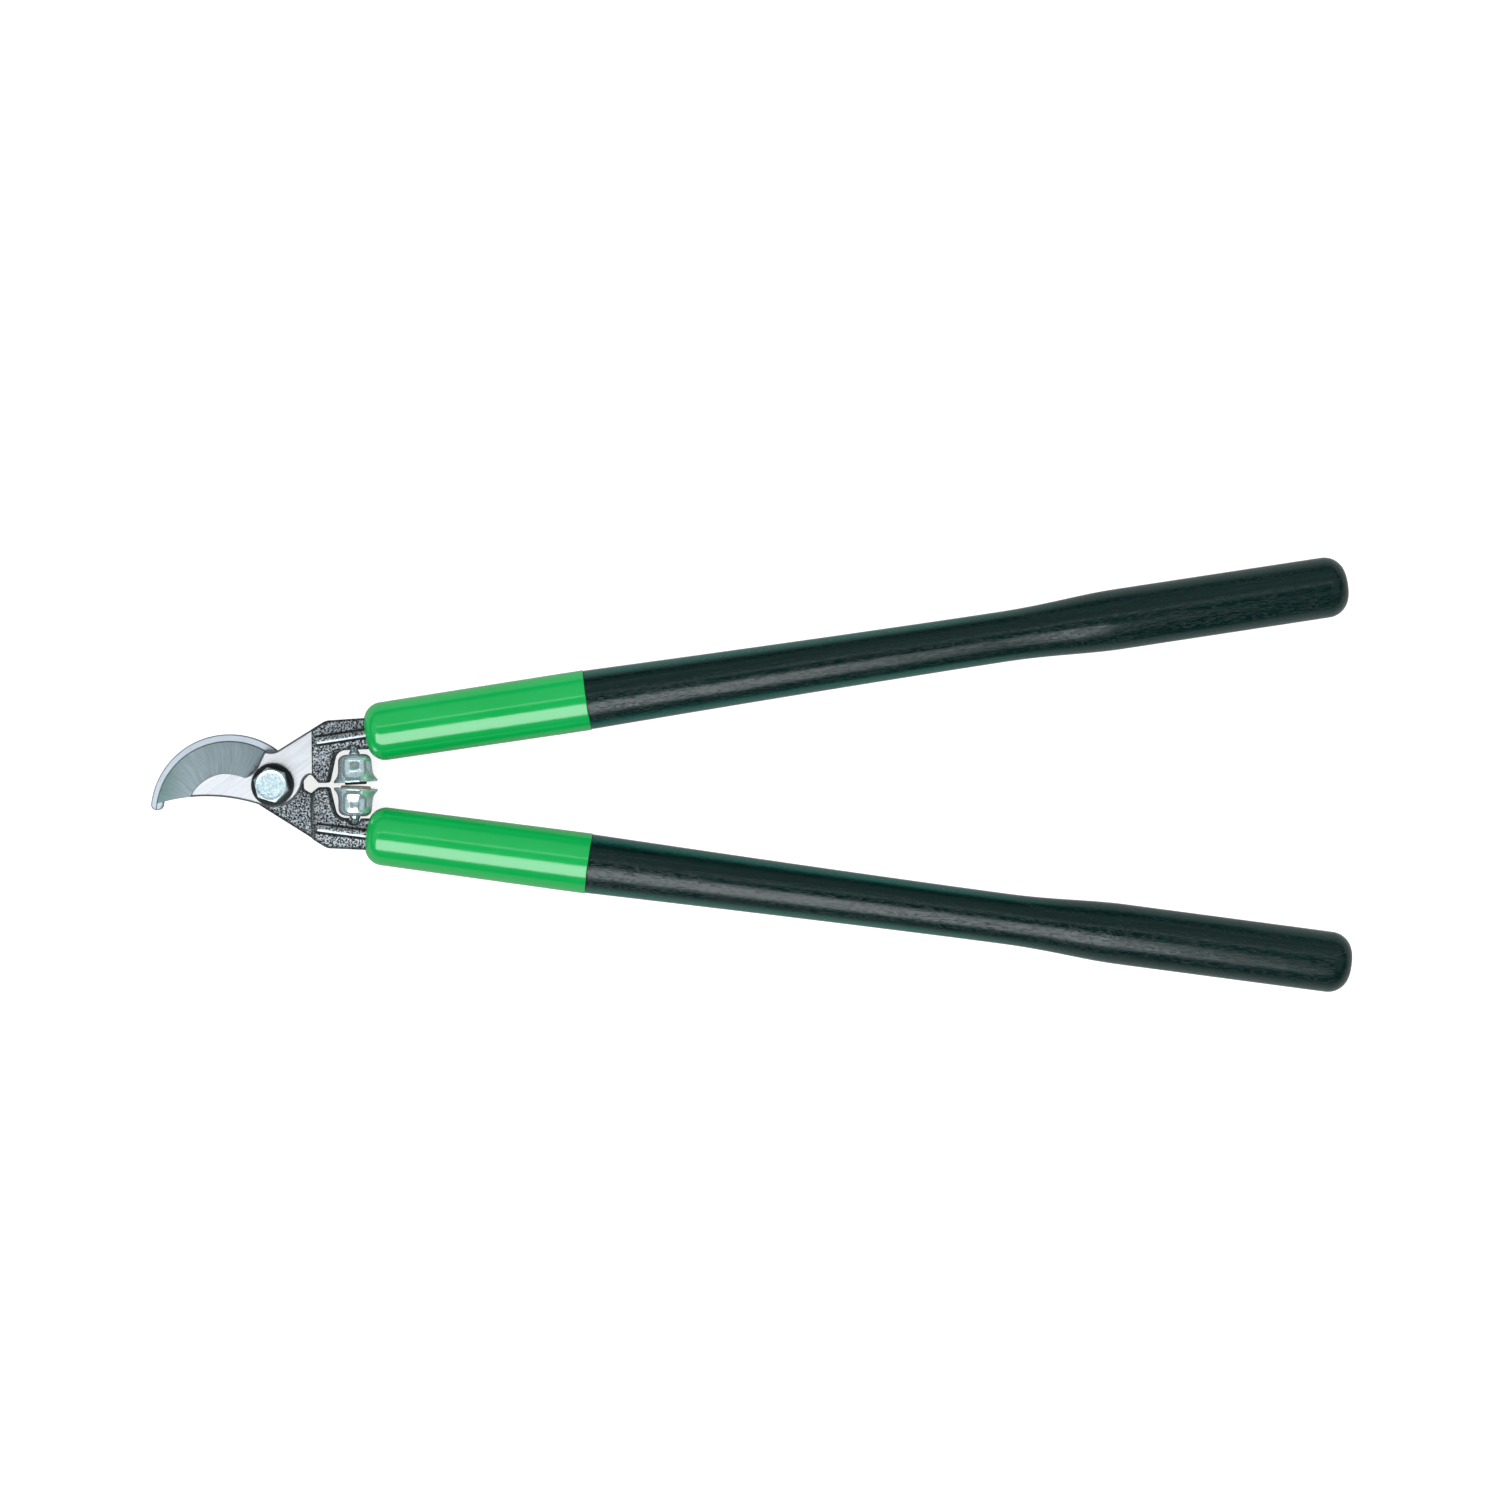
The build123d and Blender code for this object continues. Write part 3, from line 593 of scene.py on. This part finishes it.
def paintFaces(piece, choose):
    # Gives each face the material number that choose returns for its centre and direction.
    # The borders between two materials stay sharp.
    mesh = piece.data
    centres = np.empty(len(mesh.polygons) * 3)
    normals = np.empty(len(mesh.polygons) * 3)
    mesh.polygons.foreach_get("center", centres)
    mesh.polygons.foreach_get("normal", normals)
    numbers = choose(centres.reshape(-1, 3) / mm, normals.reshape(-1, 3))
    mesh.polygons.foreach_set("material_index", numbers.astype(np.int32))
    work = bmesh.new()
    work.from_mesh(mesh)
    for edge in work.edges:
        if len({face.material_index for face in edge.link_faces}) > 1:
            edge.smooth = False
    work.to_mesh(mesh)
    work.free()


def keepFlatsFlat(piece):
    # Large faces rule the shading of the corners that they share with narrow rounded ones.
    weights = piece.modifiers.new("flats", "WEIGHTED_NORMAL")
    weights.keep_sharp = True
    weights.weight = 100


# Arms

def chooseBladeFaces(centres, normals):
    # 0 forged, 1 machined plate, 2 ground bevel, 3 lap face, 4 plate edge
    x, y, z = centres.T
    level = z - midHeight / mm
    upward = normals[:, 2]
    fromJaw = np.hypot(x - tool["jawCentre"][0], y - tool["jawCentre"][1])
    plate = x < tool["machinedEdge"] + 0.1
    ground = plate & (level > 0.3) & (level < tool["bladeTop"] - 0.02)
    numbers = np.where(plate, 4, 0)
    numbers[plate & (upward > 0.9) & (level > tool["bladeTop"] - 0.05)] = 1
    numbers[ground & (upward > 0.4)] = 2
    inBevel = (fromJaw < tool["edgeRadius"] - 0.5) & (fromJaw > tool["grindRadius"] - 0.3)
    numbers[ground & inBevel & (np.abs(upward) < 0.4) & (y > 3) & (x < -8)] = 2
    numbers[(upward < -0.9) & (np.abs(level - 0.05) < 0.1)] = 3
    return numbers


def chooseHookFaces(centres, normals):
    # 0 forged, 1 lap face and rim, 2 back of the hook, 3 edge of the hook
    x, z = centres[:, 0], centres[:, 2]
    level = z - midHeight / mm
    hook = x < tool["machinedEdge"] + 0.1
    numbers = np.where(hook, 3, 0)
    numbers[(normals[:, 2] > 0.9) & (np.abs(level + 0.05) < 0.1)] = 1
    numbers[hook & (normals[:, 2] < -0.9)] = 2
    return numbers


arms = {
    "blade": {"choose": chooseBladeFaces, "slot": "blade_steel",
              "finishes": ("forgedBlade", "machined", "bevel", "lapFlat", "plateEdge")},
    "hook": {"choose": chooseHookFaces, "slot": "forged_steel",
             "finishes": ("forgedHook", "rim", "forgedBack", "plateEdge")},
}

for side, arm in arms.items():
    piece = smoothCopy(side + "Arm", side + "_arm")
    paintFaces(piece, arm["choose"])
    dress(piece, [finishes[key] for key in arm["finishes"]], bodyOf[side], arm["slot"], side + "_arm")
    keepFlatsFlat(piece)
print("stage: arms made")


# Pivot hardware

# heights are from the frame's Z = 0, where the tool lies
pivot = {
    "flats": 18.4,                   # across the hexagon's flats
    "turn": 42.6,                    # of the hexagon, in degrees
    "flatFace": 8.9,                 # radius of the head's face inside its chamfer
    "boltRadius": 6.0,
    "boreRadius": 6.02,
    "threadPitch": 1.75,
    "threadDepth": 0.55,
    "threadEnd": 9.5,
    "headBase": 25.5,
    "headTop": 33.0,
    "nutBase": 1.0,
    "nutTop": 10.1,
    "collarRadius": 8.6,
    "insertHeight": 2.2,
    "insertRadius": 7.6,
    "washerRadius": 12.65,
    "washers": {                     # outer face, inner face, finish and material slot
        "Front": (25.5, 23.5, "black", "black_steel"),
        "Back": (10.1, 11.9, "zinc", "zinc_plate"),
    },
    "uncut": 99,                     # any radius past the hexagon, which cuts it back
}


def hexPiece(name, path, wrapRows, thread=0.0):
    # A turned path of (height, radius) points, cut back to a hexagon: the radius there is half
    # the flats' distance over the cosine of the turn from the nearest flat's middle. The
    # thread takes a sine wave off the radius, whose phase climbs with the turn.
    around = np.linspace(0, 2 * pi, 288, endpoint=False)
    fromFlat = around % (pi / 3) - pi / 6
    half = pivot["flats"] / 2
    hexagon = smaller(half / np.cos(fromFlat), half / cos(pi / 6) - 0.05, 0.15)
    heights, turnGrid = np.meshgrid(path[:, 0], radians(pivot["turn"]) + around, indexing="ij")
    radius = smaller(path[:, 1:2] + 0 * turnGrid, hexagon[None], 0.1)
    onThread = (heights < pivot["threadEnd"]) & (heights > 0.3) & (path[:, 1:2] > 4)
    wave = 0.5 - 0.5 * np.cos(2 * pi * heights / pivot["threadPitch"] - turnGrid)
    radius = radius - thread * wave * onThread
    return meshFromGrid(name, turnedPoints(pivotAxes(), heights, radius, turnGrid), wrapRows, 24)


def coneRows(edge, inward, count=12):
    # Rows down a 30 degree chamfer, from the flat face's rim past the hexagon's corners.
    drop = np.linspace(0, 1.15, count)
    return np.stack([edge + inward * drop, pivot["flatFace"] + drop / tan(pi / 6)], axis=1)


def headCrown(top):
    # The head's face: a shallow dish inside a rounded rim.
    face = pivot["flatFace"]
    return curvedPath([(top, face), (top, face - 0.35), (top - 0.06, face - 0.8), (top - 0.16, face - 1.3)],
                      [(top - 0.16, face - 1.3), (top - 0.16, face - 4), (top - 0.16, 0)], steps=4)


def boltPiece():
    # Rows of (height, radius): the rounded end, the thread, the plain shank, the head's
    # underside and side, its chamfer and its face.
    radius, base, top, uncut = (pivot[key] for key in ("boltRadius", "headBase", "headTop", "uncut"))
    end = [(0, 0), (0, radius - 1.4), (0.1, radius - 0.9), (0.6, radius)]
    thread = np.stack([np.linspace(0.7, pivot["threadEnd"], 60), np.full(60, radius)], axis=1)
    shank = [(pivot["threadEnd"] + 0.3, radius), (base, radius), (base, 9.5)]
    side = [(base, uncut), (base + 0.3, uncut), (top - 2, uncut)]
    path = np.concatenate([end, thread, shank, side, coneRows(top, -1)[::-1], headCrown(top)[1:]])
    piece = hexPiece("pivotBolt", path, False, pivot["threadDepth"])
    dress(piece, finishes["zinc"], bodyOf["hook"], "zinc_plate", "pivot_bolt")


def nutPieces():
    # Rows of (height, radius): the face on the washer, the chamfered hexagon, the turned
    # collar and the seat of the locking ring, which has a path of its own.
    base, top, collar, ring = (pivot[key] for key in ("nutBase", "nutTop", "collarRadius", "insertRadius"))
    bore, uncut = pivot["boreRadius"], pivot["uncut"]
    seat = base + pivot["insertHeight"]
    path = np.concatenate([
        [(top, bore), (top, 7.5)],
        coneRows(top, -1),
        [(8.0, uncut), (5.0, uncut)],
        coneRows(seat + 0.1, 1)[::-1],
        roundedPath([(seat + 0.1, collar + 0.1), (seat + 0.05, collar, 0.04),
                     (base, collar, 0.9), (base, ring)]),
        [(seat, ring), (seat, bore)],
    ])
    piece = hexPiece("pivotNut", path, True)
    dress(piece, finishes["zinc"], bodyOf["hook"], "zinc_plate", "pivot_nut")

    edge, hole, low = ring - 0.02, bore + 0.01, base + 0.2
    path = roundedPath([(seat, hole), (seat, edge), (low, edge, 0.15),
                        (low, 6.6, 0.4), (low + 0.5, hole, 0.2)])
    piece = turnedPiece("nutInsert", pivotAxes(), path, 96, True)
    dress(piece, finishes["locking"], bodyOf["hook"], "locking_plastic", "nut_insert")


def washerPiece(place):
    # A flat ring whose outer face has a rounded rim and a broken edge at the hole.
    top, bottom, finish, slotName = pivot["washers"][place]
    rim, bore = pivot["washerRadius"], pivot["boreRadius"]
    path = roundedPath([(bottom, bore), (bottom, rim - 0.25), (bottom * 0.9 + top * 0.1, rim, 0.1),
                        (top, rim, 0.5), (top, 6.5, 0.2), (top * 0.8 + bottom * 0.2, bore)])
    piece = turnedPiece("pivotWasher" + place, pivotAxes(), path, 128, True)
    dress(piece, finishes[finish], bodyOf["hook"], slotName, "pivot_washer_" + place.lower())


boltPiece()
nutPieces()
for place in pivot["washers"]:
    washerPiece(place)
print("stage: pivot made")


# Bumpers

bumper = {
    "place": 48.5,                   # X of both bumpers' axis
    "shift": -0.7,                   # Y of the plane where the buffers meet
    "tilt": 2.5,                     # of the axis away from Y, in degrees
    "face": 0.4,                     # the rest are measured along the axis from that plane
    "mouth": 1.8,
    "closed": 18.3,
    "studEnd": 31.0,
    "wall": 1.2,
    "lipRadius": 13.0,
    "bodyRadius": 9.7,
    "bufferRadius": 8.3,
    "domeRadius": 3.2,
    "studRadius": 2.5,
    "boltHead": (4.2, 1.6),          # radius and height of the stud's head inside the cup
}

buffers = {
    "blade": {"radius": 6.5, "finish": "blackRubber", "slot": "black_rubber"},
    "hook": {"radius": 8.8, "finish": "tanRubber", "slot": "tan_rubber"},
}


def bumperAxes(side):
    turn = radians(bumper["tilt"])
    start = np.array([bumper["place"] * mm, bumper["shift"] * mm, midHeight])
    ahead = np.array([-sin(turn), sides[side] * cos(turn), 0.0])
    up = np.array([0.0, 0.0, 1.0])
    return start, ahead, np.cross(up, ahead), up


def cupPiece(side):
    # A pressed bell of even wall: rows run from the stud's hole over the shoulder and down
    # the flaring outside, round the rolled lip and back up the inside.
    closed, wall, body, lip = (bumper[key] for key in ("closed", "wall", "bodyRadius", "lipRadius"))
    floor, mouth, hole = closed - wall, bumper["mouth"], bumper["studRadius"] + 0.02
    shoulder = [(closed, 4.5), (closed - 0.15, 6.2), (closed - 1.0, 8.2), (closed - 3.3, body)]
    flare = [(9.0, 10.1), (5.7, 10.9), (3.5, 12.4), (mouth + 0.9, lip)]
    inside = [(mouth + 0.15, lip - 0.25), (mouth + 0.1, lip - 0.8), (3.0, 11.2), (4.9, 9.9), (9.0, 8.9)]
    bottom = [(floor - 1.5, body - wall), (floor - 0.2, body - wall - 1.2), (floor, body - wall - 3)]
    bell = curvedPath(shoulder + flare + inside + bottom, steps=7)
    path = np.concatenate([[(floor, hole), (closed, hole)], bell])
    piece = turnedPiece(side + "BumperCup", bumperAxes(side), path, 128, True)
    dress(piece, finishes["plated"], bodyOf[side], "bright_plate", side + "_bumper_cup")


def bufferPiece(side):
    # A rubber button with a rounded face, on a plug that fills the cup round the stud's head.
    own = buffers[side]
    face, seat, plug = bumper["face"], bumper["mouth"] + 1.5, bumper["bufferRadius"]
    floor = bumper["closed"] - bumper["wall"]
    pocketRadius, pocket = bumper["boltHead"][0] + 0.05, floor - bumper["boltHead"][1] - 0.05
    path = roundedPath([(face + 0.05, 0), (face, own["radius"] * 0.6, 0.8), (face, own["radius"], 0.9),
                        (seat, own["radius"], 0.3), (seat, plug), (floor, plug, 0.5),
                        (floor, pocketRadius), (pocket, pocketRadius), (pocket, 0)])
    piece = turnedPiece(side + "BumperBuffer", bumperAxes(side), path, 96)
    dress(piece, finishes[own["finish"]], bodyOf[side], own["slot"], side + "_bumper_buffer")


def studPiece(side):
    # Rows run over the head inside the cup, through the cup's hole, over a dome that is part
    # of a circle round the cup's closed end, and along the tail in the shank.
    closed, dome, radius, tail = (bumper[key] for key in ("closed", "domeRadius", "studRadius", "studEnd"))
    floor = closed - bumper["wall"]
    headRadius, headHeight = bumper["boltHead"]
    meet = closed + (dome ** 2 - radius ** 2) ** 0.5
    turns = np.linspace(0, np.arcsin((meet - closed) / dome), 14)
    path = np.concatenate([
        roundedPath([(floor - headHeight, 0), (floor - headHeight, headRadius, 0.5), (floor, headRadius),
                     (floor, radius), (closed + 0.01, radius)]),
        np.stack([closed + dome * np.sin(turns), dome * np.cos(turns)], axis=1),
        roundedPath([(meet, radius), (tail, radius, 0.4), (tail, 0)]),
    ])
    piece = turnedPiece(side + "BumperStud", bumperAxes(side), path, 64)
    dress(piece, finishes["plated"], bodyOf[side], "bright_plate", side + "_bumper_stud")


for side in sides:
    cupPiece(side)
    bufferPiece(side)
    studPiece(side)
print("stage: bumpers made")


# Handles and sleeves

handle = {
    "front": 72.0,                   # places along the handle's axis
    "ferruleEnd": 140.0,
    "shoulderPlace": 187.9,
    "neckPlace": 434.0,
    "gripPlace": 505.0,
    "cornerPlace": 629.9,
    "end": 642.9,
    "ferruleSeat": 13.6,             # radii
    "spigotRadius": 14.8,
    "shoulderRadius": 17.5,
    "neckRadius": 14.95,
    "gripRadius": 17.9,
    "corner": 12.5,
    "crown": 0.5,
    "taperPower": 1.55,
    "swellPower": 1.2,
}

sleeve = {
    "front": 55.4,                   # places along the handle's axis
    "rear": 187.9,
    "corner": 10.5,                  # the nose's arc and the radius of the face inside it
    "nose": 6.7,
    "frontRadius": 17.2,
    "rearRadius": 17.9,
    "lipRadius": 15.4,
    "boreRadius": 14.85,
    "wall": 12.6,
    "ease": 0.25,                    # broken edge at the slot's mouth
    "slotGap": 0.12,
    "shankHalfWidth": 9.3,
    "ribReach": 8.544,               # the rib's flank: reach / (1 + lean * tangent of the turn)
    "ribLean": 0.781,
    "seamHeight": 0.05,
    "seamWidth": 0.22,
}


def handlePiece(side):
    # The radius falls from the shoulder to the neck by a power of the way left, rises to the
    # grip by a smooth step, stays there, and ends in a quarter ellipse and a low crown.
    step, neck, grip = handle["shoulderPlace"], handle["neckPlace"], handle["gripPlace"]
    wide, narrow, full = handle["shoulderRadius"], handle["neckRadius"], handle["gripRadius"]
    seat, spigot, corner = handle["ferruleSeat"], handle["spigotRadius"], handle["corner"]
    shoulder = step + 0.7
    front = roundedPath([(handle["front"], 0), (handle["front"], seat, 0.6), (handle["ferruleEnd"], seat),
                         (handle["ferruleEnd"], spigot), (step + 0.05, spigot), (step + 0.05, wide, 0.6),
                         (shoulder, wide - 0.005)])
    alongTaper = np.linspace(shoulder, neck, 70)
    left = (neck - alongTaper) / (neck - shoulder)
    taper = narrow + (wide - narrow) * left ** handle["taperPower"]
    alongSwell = np.linspace(neck, grip, 40)[1:]
    rise = ((alongSwell - neck) / (grip - neck)) ** handle["swellPower"]
    swell = narrow + (full - narrow) * rise ** 2 * (3 - 2 * rise)
    alongGrip = np.linspace(grip, handle["cornerPlace"], 24)[1:]
    turn = np.linspace(0, pi / 2, 22)[1:]
    crown = np.linspace(1, 0, 6)[1:]
    path = np.concatenate([
        front,
        np.stack([alongTaper, taper], axis=1)[1:],
        np.stack([alongSwell, swell], axis=1),
        np.stack([alongGrip, np.full(len(alongGrip), full)], axis=1),
        np.stack([handle["cornerPlace"] + corner * np.sin(turn), full - corner * (1 - np.cos(turn))], axis=1),
        np.stack([handle["end"] - handle["crown"] * crown ** 2, crown * (full - corner)], axis=1),
    ])
    piece = turnedPiece(side + "Handle", handleAxes(side), path, 128)
    dress(piece, finishes[side + "Wood"], bodyOf[side], "lacquered_wood", side + "_handle")


def slotRadius(turns):
    # The shank's section seen from the handle's axis: a rounded rectangle as a superellipse,
    # or the rib's sloping flank and flat top where that stands further out, plus a gap.
    wide, tall = sleeve["shankHalfWidth"], tool["shankHalf"]
    box = ((np.abs(np.sin(turns)) / wide) ** 14 + (np.abs(np.cos(turns)) / tall) ** 14) ** (-1 / 14)
    lean = np.abs(np.tan(turns))
    paintedFlankLight = sleeve["ribReach"] / (1 + sleeve["ribLean"] * lean)
    rib = np.minimum(tool["ribTop"], paintedFlankLight) * np.sqrt(1 + lean ** 2)
    return np.maximum(box, np.where(lean < 1, rib, 0)) + sleeve["slotGap"]


def sleevePiece(side):
    # Rows run from the slot's mouth over the nose's arc, back along the outside, round the
    # rear lip, forward through the bore and out through the slot. The nose's rows start at the
    # arc's angle where the slot cuts it, so that they follow the slot's outline.
    turns = np.linspace(0, 2 * pi, 256, endpoint=False)
    slot = slotRadius(turns)
    corner, nose, tail, ease = (sleeve[key] for key in ("corner", "nose", "rear", "ease"))
    wide, narrow, lip = (sleeve[key] for key in ("rearRadius", "frontRadius", "lipRadius"))
    cornerEnd, inner = sleeve["front"] + corner, sleeve["front"] + sleeve["wall"]

    first = np.arcsin(np.clip((slot + ease - nose) / corner, 0, 1))
    angle = first + (pi / 2 - first) * np.linspace(0, 1, 20)[:, None]
    alongNose = cornerEnd - corner * np.cos(angle)
    radiusNose = np.maximum(nose + corner * np.sin(angle), slot + ease)

    alongBody = np.linspace(cornerEnd, tail - 0.5, 40)[1:]
    body = narrow + (alongBody - cornerEnd) / (tail - 0.5 - cornerEnd) * (wide - narrow)
    bore = sleeve["boreRadius"]
    rear = roundedPath([(tail - 0.5, wide), (tail, wide, 0.5), (tail, lip), (tail - 0.4, bore),
                        (inner, bore)])
    plain = np.concatenate([np.stack([alongBody, body], axis=1), rear[1:]])
    along, radius = (np.repeat(plain[:, column:column + 1], len(turns), 1) for column in (0, 1))
    along = np.concatenate([alongNose[:1] + ease, alongNose, along, np.full((1, len(turns)), inner)])
    radius = np.concatenate([slot[None], radiusNose, radius, slot[None]])

    # a moulding seam runs along both sides of the body as a low ridge
    turnGrid = np.repeat(turns[None], len(along), axis=0)
    seam = np.exp(-((np.abs(np.cos(turnGrid)) * radius) / sleeve["seamWidth"]) ** 2)
    onBody = (radius > lip + 0.1) & (radius < wide - 0.06)
    radius = radius + sleeve["seamHeight"] * seam * onBody
    piece = meshFromGrid(side + "Sleeve", turnedPoints(handleAxes(side), along, radius, turnGrid), True, 40)
    dress(piece, finishes["green"], bodyOf[side], "green_plastic", side + "_sleeve")


for side in sides:
    handlePiece(side)
    sleevePiece(side)
print("stage: handles and sleeves made")

# every CAD node has a finish, hidden ones too
nodeFinish = {
    "arm": "forgedBlade", "bolt": "zinc", "washer": "zinc", "nut": "zinc", "insert": "locking",
    "cup": "plated", "stud": "plated", "ferrule": "drawn", "pin": "drawn", "sleeve": "green",
}
for name, node in frame["nodes"].items():
    words = name.split("_")
    kind = next((word for word in nodeFinish if word in words), None)
    key = nodeFinish.get(kind)
    if words[-1] == "handle":
        key = words[0] + "Wood"
    if words[-1] == "buffer":
        key = buffers[words[0]]["finish"]
    node.data.materials.clear()
    node.data.materials.append(finishes[key])
print("stage: CAD nodes finished")


# Stage, lights and camera

studio = {
    "look": (0.282, 0.0179, 0.018),  # the point that the camera and the lights face, in metres
    "height": 2.097,                 # of the camera above it
    "lens": 85,
    "roll": 0.55,                    # of the camera, in degrees
    "ambient": 1.5,
    "distance": 1.6,                 # of the lights
    # each light: bearing of its side (-90 is -Y), turn from straight up, middle in X,
    # length, width, radiance
    "softBox": (-90, 34.5, -0.35, 2.0, 1.25, 6.5),
    "stripLight": (90, 17.5, 0.2, 2.4, 0.15, 2.5),
    "sideGlow": (90, 46.0, 0.2, 4.0, 1.4, 0.40),
    "frontPanel": (180, 48.0, 0.0, 1.6, 1.1, 0.5),
    "endPanel": (0, 48.0, 0.3, 1.6, 1.1, 0.5),
}


def floorMaterial(name, low, high, glow):
    # Matt paper with the faintest mottling between two greys, and an even glow.
    recipe = Recipe(name)
    grain = recipe.noise(recipe.place(), 0.02, 3, 0.6)
    colour = recipe.ramp(grain, 0.3, 0.7, (low, low, low), (high, high, high))
    return recipe.surface(baseColor=colour, roughness=0.9, emissionColor=(1, 1, 1), emissionStrength=glow)


def floorPlane(name, height, material):
    mesh = bpy.data.meshes.new(name)
    mesh.from_pydata([(-6, -6, height), (6, -6, height), (6, 6, height), (-6, 6, height)], [], [(0, 1, 2, 3)])
    mesh.materials.append(material)
    plane = bpy.data.objects.new(name, mesh)
    bpy.context.scene.collection.objects.link(plane)
    return plane


# the paper that is seen glows a little, so that it stays white beside the tool; what it
# throws back onto the tool comes from a duller sheet just below
seenFloor = floorPlane("studioFloor", -0.0002, floorMaterial("studioPaper", 0.50, 0.52, 0.72))
seenFloor.visible_glossy = False
seenFloor.visible_diffuse = False
thrownFloor = floorPlane("studioFloorThrown", -0.0005, floorMaterial("studioPaperThrown", 0.40, 0.42, 0.0))
thrownFloor.visible_camera = False

# even light from all round for colours, and lights for the shine alone, which stay off matt
# surfaces, as a light tent with a few bright panels gives
world = bpy.data.worlds.new("studioWorld")
world.use_nodes = True
world.node_tree.nodes["Background"].inputs["Color"].default_value = (1, 1, 1, 1)
world.node_tree.nodes["Background"].inputs["Strength"].default_value = studio["ambient"]
world.cycles_visibility.glossy = False
bpy.context.scene.world = world


def shineLight(name):
    # A panel that faces the tool. Its power is radiance times pi times area.
    bearing, turn, middle, length, width, radiance = studio[name]
    light = bpy.data.lights.new(name, "AREA")
    light.shape = "RECTANGLE"
    light.size, light.size_y = length, width
    light.energy = radiance * pi * length * width
    light.color = (0.92, 0.96, 1.0)
    lamp = bpy.data.objects.new(name, light)
    look = Vector((middle, studio["look"][1], studio["look"][2]))
    side = Vector((cos(radians(bearing)), sin(radians(bearing)), 0))
    ahead = side * sin(radians(turn)) + Vector((0, 0, cos(radians(turn))))
    lamp.location = look + ahead * studio["distance"]
    lamp.rotation_euler = (radians(turn), 0, radians(bearing + 90))
    lamp.visible_diffuse = False
    bpy.context.scene.collection.objects.link(lamp)


for name in ("softBox", "stripLight", "sideGlow", "frontPanel", "endPanel"):
    shineLight(name)

camera = bpy.data.objects.new("camera", bpy.data.cameras.new("camera"))
camera.data.lens = studio["lens"]
camera.data.sensor_width = 36
camera.data.clip_end = 50
camera.location = Vector(studio["look"]) + Vector((0, 0, studio["height"]))
camera.rotation_euler = (0, 0, -radians(studio["roll"]))
bpy.context.scene.collection.objects.link(camera)
bpy.context.scene.camera = camera
bpy.context.scene.view_settings.view_transform = "Standard"
print("stage: lights and camera set")
